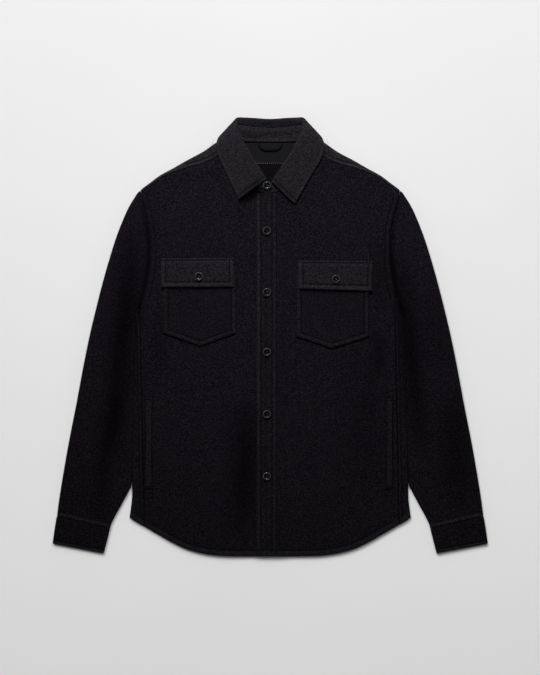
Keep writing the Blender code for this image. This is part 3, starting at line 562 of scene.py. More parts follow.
def bars(name, start, end, radius, rise, surface):
    """Short bars from starts to ends: rings of four points, a third as wide at both ends."""
    direction = unit(end - start)
    side = unit(np.cross(direction, (0, 0, 1)))
    up = np.cross(side, direction)
    rings = []
    for share, size, lifted in ((0, 0.35, -0.9), (0.22, 1, 0), (0.78, 1, 0), (1, 0.35, -0.9)):
        middle = start + (end - start) * share + up * (rise + lifted * radius)
        for angle in (0.25, 0.75, 1.25, 1.75):
            across = side * math.cos(angle * math.pi) + up * math.sin(angle * math.pi)
            rings.append(middle + across * radius * size)
    points = np.stack(rings, axis=1).reshape(-1, 3)
    around = [(r * 4 + k, r * 4 + (k + 1) % 4, r * 4 + 4 + (k + 1) % 4, r * 4 + 4 + k)
              for r in range(3) for k in range(4)]
    one = np.array(around + [(3, 2, 1, 0), (12, 13, 14, 15)])
    faces = (one[None] + 16 * np.arange(len(start))[:, None, None]).reshape(-1, 4)
    return add_mesh(name, points, faces, surface)


def panel(left, right, bottom, top, columns, rows):
    """Plan points of a panel between two side curves x(y) and a bottom and a top curve y(x).

    Each point is moved in turn to its share of the way across and up, until both agree.
    """
    across = np.asarray(columns, float)[None, :]
    up = np.asarray(rows, float)[:, None]
    x = np.zeros((up.size, across.size))
    y = np.zeros_like(x)
    for _ in range(12):
        x = left(y) * (1 - across) + right(y) * across
        y = bottom(x) * (1 - up) + top(x) * up
    return x, y


def level(value):
    """The same value at every place."""
    return lambda at: np.full(np.shape(at), float(value))


def flat_grid(x, y, z):
    return np.stack(np.broadcast_arrays(x, y, z), -1).astype(float)


def rectangle(x_ends, y_ends, z, step):
    """A flat grid between two values of x and two of y."""
    x = between(*x_ends, shares_of(x_ends[1] - x_ends[0], step))[None, :]
    y = between(*y_ends, shares_of(y_ends[1] - y_ends[0], step))[:, None]
    return flat_grid(x, y, z)


def hem_y(x):
    return through(HEM, np.abs(x))


def side_x(y):
    return through(BODY_SIDE, y)


def armhole_x(y):
    return through(ARMHOLE, y)


def armhole_y(x):
    """Height at which the lower part of the armhole seam reaches x."""
    y = np.linspace(ARMHOLE[0][0], 120, 60)
    return np.interp(-np.asarray(x, float), -armhole_x(y), y)


def seam_x(y, side):
    """The forward side seam, kept on the flat of the front."""
    seam = through(SIDE_SEAM, y, 1 if side < 0 else 2)
    return np.minimum(seam, side_x(y) - FOLD_INSET - 1.5)


def edge_frame(points, rows, turn=1):
    """Points of an edge, and the unit vectors that point into the cloth. turn is 1 or -1."""
    step = unit(along(points, rows + 0.02) - along(points, rows - 0.02))
    return along(points, rows), turn * np.column_stack([step[:, 1], -step[:, 0]])


def fold(edge, inward, angle):
    """Points round the fold at an edge, from the front layer (0) to the back layer (pi)."""
    plan = edge + inward * (FOLD_INSET - FOLD_RADIUS * math.sin(angle))
    height = BODY_HEIGHT / 2 + FOLD_RADIUS * math.cos(angle)
    return np.column_stack([plan, np.full(len(plan), height)])


def mirrored(grid, side):
    """The grid for the +X side, or its mirror image with its columns reversed."""
    return grid if side > 0 else (grid * (-1, 1, 1))[:, ::-1]


def side_name(side):
    return "right" if side < 0 else "left"


def back_panel():
    """The back, as one sheet from side seam to side seam, round both side folds.

    Below the armpits a row runs from one seam over a strip on the front, round a half circle, along the
    bottom, and up again. Above them it is the bottom layer only, between the armholes.
    """
    low = shares_of(430, 6)[:, None]
    high = shares_of(165, 12, first=False)[1:, None]
    strip_shares = np.concatenate([EDGE_STEPS[:12] / 13, [0.92, 1]])[None, :-1]
    angles = np.linspace(0, math.pi, 13)[None, :]
    sides = []
    for side in (-1, 1):
        corner = side_x(between(hem_y(side_x(-330)), ARMPIT_Y, low))
        edge_y = between(hem_y(corner), ARMPIT_Y, low)
        edge = side_x(edge_y)
        y = edge_y + 0 * strip_shares
        for _ in range(6):
            x = between(seam_x(y, side), edge - FOLD_INSET, strip_shares)
            y = between(hem_y(x), armhole_y(x) - SEAM_GAP, low)
        x = x + SEAM_GAP / 2 * (1 - strip_shares)
        strip = flat_grid(side * x, y, FRONT_MIDDLE)
        arc_x = side * (edge - FOLD_INSET + FOLD_RADIUS * np.sin(angles))
        arc = flat_grid(arc_x, edge_y, BODY_HEIGHT / 2 + FOLD_RADIUS * np.cos(angles))
        sides.append(np.concatenate([strip, arc], axis=1))
    across = np.linspace(0, 1, 31)[None, 1:-1]
    bottom_x = between(sides[0][:, -1:, 0], sides[1][:, -1:, 0], across)
    bottom = flat_grid(bottom_x, between(hem_y(bottom_x), ARMPIT_Y, low), BACK_MIDDLE)
    lower = np.concatenate([sides[0], bottom, sides[1][:, ::-1]], axis=1)
    y = ARMPIT_Y + (BACK_YOKE_Y - SEAM_GAP / 2 - ARMPIT_Y) * high
    edge = armhole_x(y) - CURVED_GAP / 2
    wide = edge * np.linspace(-1, 1, 31)[None, :]
    spare = sides[0].shape[1] - 1
    wide = np.pad(wide, ((0, 0), (spare, spare)), mode="edge")
    upper = flat_grid(wide, y, BACK_MIDDLE)
    grid = np.concatenate([lower, upper])
    turn = len(lower) - 1
    cells = np.ones((grid.shape[0] - 1, grid.shape[1] - 1), bool)
    cells[turn:, :spare] = False
    cells[turn:, -spare:] = False
    rims = [
        grid[0], grid[:turn + 1, 0], grid[:turn + 1, -1], grid[turn, :spare + 1], grid[turn, -spare - 1:],
        grid[turn:, spare], grid[turn:, -spare - 1], grid[-1, spare:-spare],
    ]
    grid, cells = grid[::-1], cells[::-1]
    hem_edges = [lower[0, :spare + 1], lower[0, -spare - 1:]]
    seams = [lower[:, 0], lower[:, -1]]
    bands = [(path, HEM_STITCH, 0.42) for path in hem_edges] + [(path, SIDE_STITCH, 0.16) for path in seams]
    threads = [hem_stitch_line(-244, -226), hem_stitch_line(228, 244)]
    for path, turned in zip(seams, (1, -1)):
        threads.append(offset(path, turned * SIDE_STITCH)[16:-6])
    return sewn("back_panel", grid, WALL, bands, threads, cells=cells, rims=rims)


def hem_stitch_line(first, last):
    """The hem's stitches between two values of x."""
    x = np.linspace(first, last, max(8, int((last - first) / 4)))
    return offset(np.column_stack([x, hem_y(x)]), HEM_STITCH)


def shoulder_rows(shares):
    return spread(SHOULDER_AND_SLEEVE, NECK_POINT, SHOULDER_POINT, shares)


def yoke_seam(count=60):
    """Plan points of the forward yoke seam on the +X side, from the neck to the shoulder point."""
    shares = np.linspace(0, 1, count)
    edge, inward = edge_frame(SHOULDER_AND_SLEEVE, shoulder_rows(shares))
    return edge + inward * (FOLD_INSET + through(YOKE_STRIP, shares))[:, None]


def back_yoke():
    """The yoke, from the back seam up to the neck and over both shoulders to the forward seams."""
    shares = shares_of(215, 5, first=False, last=False)
    count = len(shares)
    rows = shoulder_rows(shares)
    rows[-1] -= 0.012
    edge, inward = edge_frame(SHOULDER_AND_SLEEVE, rows)
    angles = np.linspace(math.pi, 0, 13)
    arc = [fold(edge, inward, a) for a in angles]
    width = through(YOKE_STRIP, shares) - SEAM_GAP
    strip = edge + inward * (FOLD_INSET + width)[:, None]
    strip = np.column_stack([strip, np.full(count, FRONT_MIDDLE)])
    low = arc[0]
    neck_x = low[0, 0]
    up = np.linspace(0, 1, 12)
    bottom_x = neck_x + (armhole_x(BACK_YOKE_Y) - CURVED_GAP / 2 - neck_x) * shares
    half = []
    for f in up:
        y = between(BACK_YOKE_Y + SEAM_GAP / 2, low[:, 1], f)
        x = between(bottom_x, low[:, 0], f)
        x = x + (armhole_x(y[-1]) - CURVED_GAP / 2 - x[-1]) * (1 - f) * shares ** 2
        half.append(np.column_stack([x, y, np.full(count, BACK_MIDDLE)]))
    half += arc[1:]
    for f in 1 - EDGE_STEPS[1:14][::-1] / 14:
        half.append(between(arc[-1], strip, f))
    half.append(strip)
    half = np.array(half)
    middle_x = np.linspace(-neck_x, neck_x, 21)[1:-1]
    f = np.minimum(np.arange(len(half)), len(up) - 1)[:, None] / (len(up) - 1)
    middle_y = between(BACK_YOKE_Y + SEAM_GAP / 2, through(BACK_NECKLINE, np.abs(middle_x)), f)
    middle = flat_grid(middle_x, middle_y, BACK_MIDDLE)
    left = (half * (-1, 1, 1))[:, ::-1]
    grid = np.concatenate([left, middle, half], axis=1)
    cells = np.ones((grid.shape[0] - 1, grid.shape[1] - 1), bool)
    turn = len(up) - 1
    cells[turn:, count - 1:-(count - 1)] = False
    rims = [
        grid[0], grid[:, 0], grid[:, -1], grid[turn, count - 1:-count + 1], grid[turn:, count - 1],
        grid[turn:, -count], grid[-1, :count], grid[-1, -count:],
    ]
    grid, cells = grid[::-1], cells[::-1]
    bands, threads = [], []
    for path, turned in ((strip[:, :2], 1), (strip[:, :2] * (-1, 1), -1)):
        bands.append((path, YOKE_STITCH, 0.25))
        threads.append(offset(path, turned * YOKE_STITCH)[:int(count * 0.5)])
    return sewn("back_yoke", grid, WALL, bands, threads, cells=cells, rims=rims, nap=0.75)


def front_top_y():
    """The top of a front as y(x): the forward yoke seam, then the neckline."""
    seam = yoke_seam() - (0, CURVED_GAP - SEAM_GAP)
    neckline = np.array(FRONT_NECKLINE) - (0, CURVED_GAP)

    def top(x):
        half = np.abs(x)
        on_seam = np.interp(half, seam[:, 0], seam[:, 1]) - np.clip((half - 205) / 20, 0, 1)
        on_neck = through(neckline, np.minimum(half, neckline[-1, 0]))
        share = np.clip((half - neckline[-1, 0]) / (seam[0, 0] - neckline[-1, 0] + 1e-6), 0, 1)
        between_ends = between(on_neck, seam[0, 1], share)
        outside = np.where(half < seam[0, 0], between_ends, on_seam)
        return np.where(half < neckline[-1, 0], on_neck, outside)

    return top


def left_front_rise(x):
    """How far the left front is lifted beside the placket, where it laps the right one."""
    return LEFT_FRONT_RAISE * (1 - smooth((x - PLACKET_RIGHT - 3) / LEFT_FRONT_RAMP))


def front_outer_x(y, side):
    """Outer edge of a front: the side seam, and above it the armhole."""
    seam = seam_x(y, side) - SEAM_GAP / 2
    hole = armhole_x(y) - CURVED_GAP / 2 - np.clip((y - 240) / 14, 0, 1)
    return np.where(y < armhole_y(seam), seam, hole)


def front(side):
    """A front panel, from the side seam and armhole to the middle."""
    inner = UNDERLAP_END if side < 0 else PLACKET_RIGHT + SEAM_GAP

    def outer_edge(y):
        return side * front_outer_x(y, side)

    edges = (outer_edge, level(inner)) if side < 0 else (level(inner), outer_edge)
    columns = shares_of(228, 4.5)
    x, y = panel(*edges, hem_y, front_top_y(), columns, shares_of(640, 4.5))
    z = np.full(x.shape, FRONT_MIDDLE) + (left_front_rise(x) if side > 0 else 0)
    grid = flat_grid(x, y, z)
    outer = grid[:, 0] if side < 0 else grid[:, -1]
    hole = outer[outer[:, 1] > 62]
    bands = [(grid[0], HEM_STITCH, 0.42), (hole, ARMHOLE_STITCH, 0.06)]
    threads = [
        hem_stitch_line(-224, -28) if side < 0 else hem_stitch_line(14, 226),
        offset(hole, side * ARMHOLE_STITCH)[2:-4],
    ]
    return sewn(f"front_{side_name(side)}", grid, WALL, bands, threads)


def front_placket():
    """The placket, on the lap of the right front, with a line of stitches near each side."""
    x, y = panel(
        level(PLACKET_LEFT), level(PLACKET_RIGHT), hem_y, level(PLACKET_TOP),
        shares_of(35.7, 2), shares_of(649, 4.5),
    )
    grid = flat_grid(x, y, BODY_HEIGHT + STACK_GAP + PLACKET_WALL / 2)
    bands = [
        (grid[:, 0], PLACKET_STITCH, 0.38), (grid[:, -1], PLACKET_STITCH, 0.16), (grid[0], HEM_STITCH, 0.42),
    ]
    threads = [offset(grid[:, 0], -PLACKET_STITCH), offset(grid[:, -1], PLACKET_STITCH)]
    threads.append(hem_stitch_line(PLACKET_LEFT + 1, PLACKET_RIGHT - 1))
    return sewn("front_placket", grid, PLACKET_WALL, bands, threads, nap=0.11)


def tube(outer_edge, inner_edge, bulge, rings, first_row, last_row, across):
    """Rings of a flattened tube between an outer and an inner edge, front layer first.

    Each ring runs from the inner edge over the front layer to the outer edge, round its fold, and back
    under. bulge moves the first rings' points towards the body, less from ring to ring.
    """
    outer_rows = spread(outer_edge, first_row, last_row, rings)
    inner_rows = spread(inner_edge, 0, len(inner_edge) - 1, rings ** (1.5 if bulge else 1))
    outer, outer_in = edge_frame(outer_edge, outer_rows, 1)
    inner, inner_in = edge_frame(inner_edge, inner_rows, -1)
    start = (inner + inner_in * FOLD_INSET)[:, None]
    end = (outer + outer_in * FOLD_INSET)[:, None]
    layer = start + (end - start) * across[None, :, None]
    if bulge:
        layer = layer + bulge(layer[:1], rings[:, None])
        low = layer[..., 1] < ARMPIT_Y + 2
        kept = np.maximum(layer[..., 0], side_x(layer[..., 1]) + FOLD_INSET + 1)
        layer[..., 0] = np.where(low, kept, layer[..., 0])
    front_layer = flat_grid(layer[..., 0], layer[..., 1], FRONT_MIDDLE)
    back_layer = flat_grid(layer[:, ::-1, 0], layer[:, ::-1, 1], BACK_MIDDLE)
    angles = np.linspace(0, math.pi, 11)
    outer_fold = np.stack([fold(outer, outer_in, a) for a in angles], 1)
    inner_fold = np.stack([fold(inner, inner_in, a) for a in angles[::-1]], 1)
    return np.concatenate([front_layer, outer_fold, back_layer, inner_fold], axis=1)


def armhole_bulge(first, t):
    """How far a ring's points lie off the straight line: the armhole's curve, gone by a third down."""
    fade = np.clip(1 - t / 0.34, 0, 1) ** 1.6
    move = (armhole_x(first[..., 1]) + CURVED_GAP / 2 - first[..., 0]) * fade
    return np.stack([move, np.zeros_like(move)], -1)


def sleeve(side):
    """A sleeve, as a flattened tube from the armhole to the cuff seam, sunk a little along the armhole."""
    last = len(SHOULDER_AND_SLEEVE) - 1
    across = np.linspace(0.015, 0.955, 40)
    rings = shares_of(640, 5)
    grid = tube(SHOULDER_AND_SLEEVE, SLEEVE_INNER, armhole_bulge, rings, SHOULDER_POINT + 0.012, last, across)
    grid = mirrored(grid, side)
    upper = slice(0, 40) if side > 0 else slice(-40, None)
    start = grid[0, upper]
    start = start[np.argsort(start[:, 1])]
    end = grid[-1, upper]
    dip = 2.0 * np.exp(-((nearest(grid[..., :2], start[:, :2])[0] / 16) ** 2))
    bands = [(end, CUFF_SEAM_RIDGE, 0.72)]
    name = f"sleeve_{side_name(side)}_cloth"
    return cloth(name, grid[::-1], WALL, felted_wool(), bands, closed=True, lift=-dip[::-1])


def seam_allowance(side):
    """The allowance pressed open under an armhole seam, which closes the seam from below."""
    y = np.linspace(36, 254, 70)[:, None]
    across = np.linspace(-7, 7, 9)[None, :]
    x = armhole_x(y) + CURVED_GAP / 2 + across
    grid = flat_grid(side * x, y + 0 * x, BODY_HEIGHT / 2)
    grid = grid[:, ::-1] if side < 0 else grid
    return cloth(f"seam_allowance_{side_name(side)}_cloth", grid, THIN_WALL, felted_wool())


def cuff(side):
    """A cuff, as a short flattened tube with a line of stitches above its edge."""
    across = np.linspace(0.03, 0.97, 30)
    rings = shares_of(53, 4)
    grid = mirrored(tube(CUFF_OUTER, CUFF_INNER, None, rings, 0, len(CUFF_OUTER) - 1, across), side)
    upper = slice(0, 30) if side > 0 else slice(-30, None)
    low = grid[-1, upper]
    bands = [(low, CUFF_STITCH, 0.65)]
    threads = [offset(low, CUFF_STITCH)]
    return sewn(f"cuff_{side_name(side)}", grid[::-1], WALL, bands, threads, closed=True)


def collar_sections(at):
    """The collar's sections at rows of its table: fold, leaf edge, neck seam, half gap and turn's vector."""
    values = along(COLLAR, at).T
    fold_line, half_gap, turn = values[:3].T, values[3], np.radians(values[4])
    edge, neck = values[5:8].T, values[8:11].T
    down = unit((edge - fold_line) * (1, 1, 0))
    outward = np.column_stack([-down[:, 1], down[:, 0], np.zeros(len(at))])
    outward = np.where(fold_line[:, :1] < 0, -outward, outward)
    away = np.cos(turn)[:, None] * (0, 0, 1) + np.abs(np.sin(turn))[:, None] * outward
    return fold_line, edge, neck, half_gap[:, None], away


def leaf_crown(f, along_leaf):
    """How far the leaf swells between its fold and its edge, most at the middle of its width."""
    return 1.2 * np.sin(math.pi * f) * (0.6 + 0.4 * np.sin(along_leaf * 9))


def collar_leaf():
    """The leaf, from its seam inside the collar, over the fold in a half circle, and out to its edge."""
    at = shares_of(520, 3.5) * (len(COLLAR) - 1)
    fold_line, edge, neck, gap, away = collar_sections(at)
    leaf_start = fold_line + away * gap
    stand_start = fold_line - away * gap
    down = edge - leaf_start
    down = unit(down - away * np.sum(down * away, -1, keepdims=True))
    side = np.sqrt(np.clip(1 - away[:, 2:] ** 2, 0, 1))
    seam = stand_start + unit(neck - stand_start) * (LEAF_TURN_IN - 6 * side)
    grid = [between(seam, stand_start, f) for f in (0, 0.03, 0.08, 0.18, 0.4, 0.7)]
    for angle in np.linspace(math.pi, 0, 15):
        grid.append(fold_line + gap * (away * math.cos(angle) - down * math.sin(angle)))
    swell = np.clip(away[:, 2:], 0, 1) * (0, 0, 1)
    for f in shares_of(46, 2.2, first=False)[1:]:
        bulge = leaf_crown(f, at / len(COLLAR))[:, None] * swell
        grid.append(between(leaf_start, edge, f) + bulge)
    grid = np.array(grid)
    visible = np.flatnonzero(away[:, 2] > 0.35)
    right, left = visible[at[visible] < 10], visible[at[visible] > 10]
    ends = [grid[18:, 0], grid[18:, -1]]
    bands = [(grid[-1, right], LEAF_STITCH, 0.25), (grid[-1, left], LEAF_STITCH, 0.25)]
    bands += [(end, LEAF_STITCH, 0.05) for end in ends]
    threads = []
    for part, end, turned in ((right, ends[0], -1), (left, ends[1], 1)):
        outer = offset(grid[-1, part], LEAF_STITCH)
        front_line = offset(end, turned * LEAF_STITCH)
        corner_row = np.argmin(nearest(outer, front_line)[0])
        reach = np.argmin(nearest(front_line, outer)[0])
        kept = outer[corner_row:] if turned < 0 else outer[:corner_row + 1]
        threads += [kept, front_line[:reach + 1]]
    return sewn("collar_leaf", grid, WALL, bands, threads, nap=0.58)


def collar_stand():
    """The stand, from the neck seam to the leaf's seam, with its two ends lapped in front."""
    at = np.linspace(0, len(COLLAR) - 1, 200)
    fold_line, edge, neck, gap, away = collar_sections(at)
    stand_start = fold_line - away * gap
    side = np.sqrt(np.clip(1 - away[:, 2:] ** 2, 0, 1))
    seam = stand_start + unit(neck - stand_start) * (LEAF_TURN_IN + SEAM_GAP - 5 * side)
    under = [
        ((STAND_UNDERLAP_X, 276, 6.7), (STAND_UNDERLAP_X, 258, 6.7)),
        ((-3, 275.5, 6.7), (-3, 257.8, 6.7)),
    ]
    over = [
        ((-1.5, 277, 10), (4, 257.6, 10)),
        ((-8.5, 278.5, 10), (-6, 257.4, 10)),
        ((-18, 277, 10), (-17, 258, 10)),
        ((-21.6, 274, 9.8), (-21.4, 259.4, 9.8)),
        ((STAND_OVERLAP_X, 270, 9.6), (STAND_OVERLAP_X, 262.5, 9.6)),
    ]
    low = np.concatenate([[pair[1] for pair in under], neck, [pair[1] for pair in over]])
    top = np.concatenate([[pair[0] for pair in under], seam, [pair[0] for pair in over]])
    grid = between(low[None], top[None], shares_of(20, 2.5)[:, None, None])
    return cloth("collar_stand_cloth", grid, WALL, felted_wool(), nap=0.85)


def neck_facing():
    """The facing on the inside of the back neck."""
    width = (-FACING_HALF_WIDTH, FACING_HALF_WIDTH)
    grid = rectangle(width, FACING_Y, WALL + STACK_GAP + THIN_WALL / 2, 5)
    return cloth("neck_facing_cloth", grid, THIN_WALL, facing_twill())


def neck_label():
    """The bare woven label on the facing, sewn along its top in a paler thread."""
    grid = rectangle(LABEL_X, LABEL_Y, WALL + STACK_GAP + THIN_WALL + STACK_GAP + THIN_WALL / 2, 4)
    piece = cloth("neck_label_cloth", grid, THIN_WALL, label_satin())
    line = [(x, LABEL_Y[1] - 2) for x in (LABEL_X[0] + 2, LABEL_X[1] - 2)]
    stitching("neck_label_stitches", piece, [line], label_thread())
    return piece


def hanger_loop():
    """The hanging loop, a narrow band that sags between its two ends at the neck seam."""
    across = np.linspace(0, 1, 60)[None, :]
    band = shares_of(LOOP_BAND, 1, first=False, last=False)[:, None]
    x = (2 * across - 1) * LOOP_HALF_WIDTH + 0 * band
    sag = 1 - (2 * across - 1) ** 4
    y = LOOP_Y[0] - (LOOP_Y[0] - LOOP_Y[1]) * sag + (band - 0.5) * LOOP_BAND
    grid = flat_grid(x, y, WALL + STACK_GAP + THIN_WALL + STACK_GAP + LOOP_WALL / 2)
    return cloth("hanger_loop_cloth", grid, LOOP_WALL, label_satin())


def chest_pocket(side):
    """A patch pocket with a pointed bottom, sewn round its sides and bottom."""
    sizes = POCKETS[side]
    left, right, top = sizes["left"], sizes["right"], sizes["top"]
    point_x, point_y = sizes["point"]
    side_y = sizes["side_bottom"]
    columns = left + (right - left) * shares_of(right - left, 3.5)
    columns = np.sort(np.append(columns, point_x))[None, :]
    low = np.interp(columns, (left, point_x, right), (side_y, point_y, side_y))
    y = low + (top - low) * shares_of(top - side_y, 3.5)[:, None]
    grid = flat_grid(columns, y, BODY_HEIGHT + STACK_GAP + WALL / 2)
    edge = np.array([(left, top), (left, side_y), (point_x, point_y), (right, side_y), (right, top)])
    threads = [offset(edge, POCKET_STITCH)]
    return sewn(f"chest_pocket_{side}", grid, WALL, [(edge, POCKET_STITCH, 0.25)], threads)


def pocket_flap(side):
    """A pocket flap, sewn to the front along its top and lying on the pocket below that."""
    sizes = FLAPS[side]
    top, bottom = np.array(sizes["top"]), np.array(sizes["bottom"])
    width = np.linalg.norm(top[1] - top[0])
    height = np.linalg.norm(top[0] - bottom[0])
    down = shares_of(height, 3)
    across = shares_of(width, 3.5)
    upper = top[0] + (top[1] - top[0]) * across[:, None]
    lower = bottom[0] + (bottom[1] - bottom[0]) * across[:, None]
    plan = between(lower[None], upper[None], down[:, None, None])
    rise = smooth((1 - down) * height / FLAP_SLOPE)[:, None]
    z = BODY_HEIGHT + STACK_GAP + WALL / 2 + rise * (WALL + STACK_GAP)
    grid = flat_grid(plan[..., 0], plan[..., 1], z)
    bands = [
        (grid[-1], FLAP_TOP_STITCH, 0.10), (grid[0], FLAP_BOTTOM_STITCH, 0.45),
        (grid[:, 0], FLAP_SIDE_STITCH, 0.30), (grid[:, -1], FLAP_SIDE_STITCH, 0.20),
    ]
    first, last = FLAP_SIDE_STITCH / width, 1 - FLAP_SIDE_STITCH / width
    low, high = FLAP_BOTTOM_STITCH / height, 1 - FLAP_TOP_STITCH / height

    def at(u, v):
        return between(between(bottom[0], bottom[1], u), between(top[0], top[1], u), v)

    threads = [
        np.array([at(first, high), at(first, low), at(last, low), at(last, high)]),
        np.array([at(0.012, high), at(0.988, high)]),
    ]
    return sewn(f"pocket_flap_{side}", grid, WALL, bands, threads, nap=0.38)


def side_welt(side):
    """The welt of a side pocket, sewn down along its two ends."""
    x_low, x_high, y_low, y_high = WELTS[side]
    y = between(y_low, y_high, shares_of(y_high - y_low, 4))[:, None]
    width = x_high - x_low
    across = np.array([0, 0.25, 0.7, 1.3, 2.2, 3.4, 4.6, width / 2])
    across = np.concatenate([across, width - across[-2::-1]]) + x_low
    grid = flat_grid(across[None, :], y, BODY_HEIGHT + STACK_GAP + WELT_WALL / 2)
    threads = [[(x_low + 1, y_at), (x_high - 1, y_at)] for y_at in (y_low + 2.5, y_high - 2.5)]
    return sewn(f"side_welt_{side}", grid, WELT_WALL, (), threads, nap=0.25)


# Height of a button's outside from its back to its bowl: radius as a share, height as a share.
BUTTON_PROFILE = (
    (0, 0), (0.70, 0), (0.82, 0.03), (0.91, 0.14), (0.965, 0.32), (0.98, 0.50), (0.97, 0.68),
    (0.935, 0.85), (0.88, 0.96), (0.82, 1), (0.76, 0.985), (0.70, 0.92), (0.65, 0.80), (0.60, 0.68),
    (0.55, 0.61), (0.48, 0.575), (0.30, 0.555), (0, 0.55),
)
HOLE_RADIUS = 0.95
HOLE_OFFSET = 1.75
HOLE_DEPTH = 1.2
SEGMENTS = 72


def button(name, centre, bottom):
    """A turned button with a rounded rim, a shallow bowl and four holes, sewn on with crossed thread.

    The profile is carried round the axis, and each hole sinks the bowl by a smooth step of the distance
    to the hole's middle.
    """
    profile = along(BUTTON_PROFILE, np.linspace(0, len(BUTTON_PROFILE) - 1, 96)[1:-1])
    rows = np.arange(len(profile))
    angle = 2 * math.pi * np.arange(SEGMENTS) / SEGMENTS
    x = profile[:, :1] * BUTTON_RADIUS * np.cos(angle)
    y = profile[:, :1] * BUTTON_RADIUS * np.sin(angle)
    z = profile[:, 1:] * BUTTON_HEIGHT + 0 * x
    holes = HOLE_OFFSET * np.array([(-1, -1), (-1, 1), (1, -1), (1, 1)])
    for hole_x, hole_y in holes:
        gap = np.hypot(x - hole_x, y - hole_y)
        sunk = 1 - smooth((gap - HOLE_RADIUS * 0.75) / (HOLE_RADIUS * 0.5))
        z = z - (rows > 50)[:, None] * HOLE_DEPTH * sunk
    middles = [(0, 0, 0), (0, 0, BUTTON_PROFILE[-1][1] * BUTTON_HEIGHT)]
    points = np.concatenate([np.stack([x, y, z], -1).reshape(-1, 3), middles]) + (*centre, bottom)
    quads = grid_faces(len(profile), SEGMENTS, closed=True)
    k = np.arange(SEGMENTS)
    after = (k + 1) % SEGMENTS
    count = len(profile) * SEGMENTS
    last = count - SEGMENTS
    faces = np.concatenate([
        quads[:, [0, 1, 2]],
        quads[:, [0, 2, 3]],
        np.column_stack([np.full(SEGMENTS, count), after, k]),
        np.column_stack([last + k, last + after, np.full(SEGMENTS, count + 1)]),
    ])
    share = profile[:, 0]
    # Painted highlight: the rim's share of the paler grey, standing in for the reflections round it.
    rim = smooth((share - 0.72) / 0.08) * smooth((0.99 - share) / 0.05) * (rows > 30)
    rim = np.concatenate([np.repeat(rim, SEGMENTS), [0, 0]])
    made = add_mesh(name, points, faces, polished_horn(), [("rim", rim)])
    start, end = [], []
    for first, second in ((holes[0], holes[3]), (holes[1], holes[2])):
        for shift in (-0.22, 0.22):
            across = unit(second - first)[::-1] * (1, -1) * shift
            start.append((*(first + across), 0))
            end.append((*(second + across), 0))
    middle = (*centre, bottom + 0.50 * BUTTON_HEIGHT)
    start, end = np.array(start) + middle, np.array(end) + middle
    return made, bars(f"{name}_thread", start, end, 0.26, 0.35, button_thread())


def linear(channel):
    """An sRGB channel from 0 to 1 as a linear value."""
    return channel / 12.92 if channel <= 0.04045 else ((channel + 0.055) / 1.055) ** 2.4


def colour(code):
    """An sRGB hex colour as linear red, green, blue and alpha."""
    return (*(linear(int(code[i:i + 2], 16) / 255) for i in (0, 2, 4)), 1)


def add_node(tree, kind, inputs=(), **settings):
    """Adds a node with its settings. inputs are pairs of a socket's name or number and what it gets."""
    made = tree.nodes.new(kind)
    for name, value in settings.items():
        setattr(made, name, value)
    for socket, value in inputs:
        if isinstance(value, bpy.types.NodeSocket):
            tree.links.new(value, made.inputs[socket])
        else:
            made.inputs[socket].default_value = value
    return made


def new_material(name, roughness, specular, *constants):
    """A material, its tree, its shader with constant values on its own sockets, and places on the piece."""
    made = bpy.data.materials.new(name)
    made.use_nodes = True
    tree = made.node_tree
    shader = tree.nodes["Principled BSDF"]
    for socket, value in (("Roughness", roughness), ("Specular IOR Level", specular), *constants):
        shader.inputs[socket].default_value = value
    return made, tree, shader, add_node(tree, "ShaderNodeTexCoord").outputs["Object"]


def made_once(make):
    """The same material each time that it is asked for."""
    kept = []

    def given():
        if not kept:
            kept.append(make())
        return kept[0]

    return given


def mixed(tree, factor, first, second):
    """The colour between two colours at a factor."""
    made = add_node(tree, "ShaderNodeMix", ((0, factor), (6, first), (7, second)), data_type="RGBA")
    return made.outputs[2]


def noise(tree, place, scale, detail, roughness=0.5):
    """Noise from 0 to 1."""
    inputs = (("Vector", place), ("Scale", scale), ("Detail", detail), ("Roughness", roughness))
    return add_node(tree, "ShaderNodeTexNoise", inputs).outputs["Fac"]


def drawn_noise(tree, place, turn, scale, detail):
    """Noise drawn out into streaks, by a scale along each axis after a turn about Z."""
    inputs = (("Vector", place), ("Rotation", (0, 0, turn)), ("Scale", scale))
    return noise(tree, add_node(tree, "ShaderNodeMapping", inputs).outputs["Vector"], 1, detail)


def bands_across(tree, place, scale, direction, *inputs):
    """Bands from 0 to 1 across a direction."""
    inputs = (("Vector", place), ("Scale", scale), *inputs)
    made = add_node(tree, "ShaderNodeTexWave", inputs, wave_type="BANDS", bands_direction=direction)
    return made.outputs["Fac"]


def ranged(tree, value, low, high, to_low=0, to_high=1, steps="LINEAR"):
    """A value brought from one range to another, and kept inside it."""
    ends = (("From Min", low), ("From Max", high), ("To Min", to_low), ("To Max", to_high))
    made = add_node(tree, "ShaderNodeMapRange", (("Value", value), *ends), interpolation_type=steps)
    return made.outputs[0]


def math_of(tree, operation, first, second):
    return add_node(tree, "ShaderNodeMath", ((0, first), (1, second)), operation=operation).outputs[0]


def carried(tree, title):
    """The values that the piece's points carry under a title."""
    return add_node(tree, "ShaderNodeAttribute", attribute_name=title).outputs["Fac"]


def link_bump(tree, shader, height, strength, distance):
    """Links a relief to the shader, from a height and its distance in metres."""
    inputs = (("Height", height), ("Strength", strength), ("Distance", distance))
    tree.links.new(add_node(tree, "ShaderNodeBump", inputs).outputs[0], shader.inputs["Normal"])


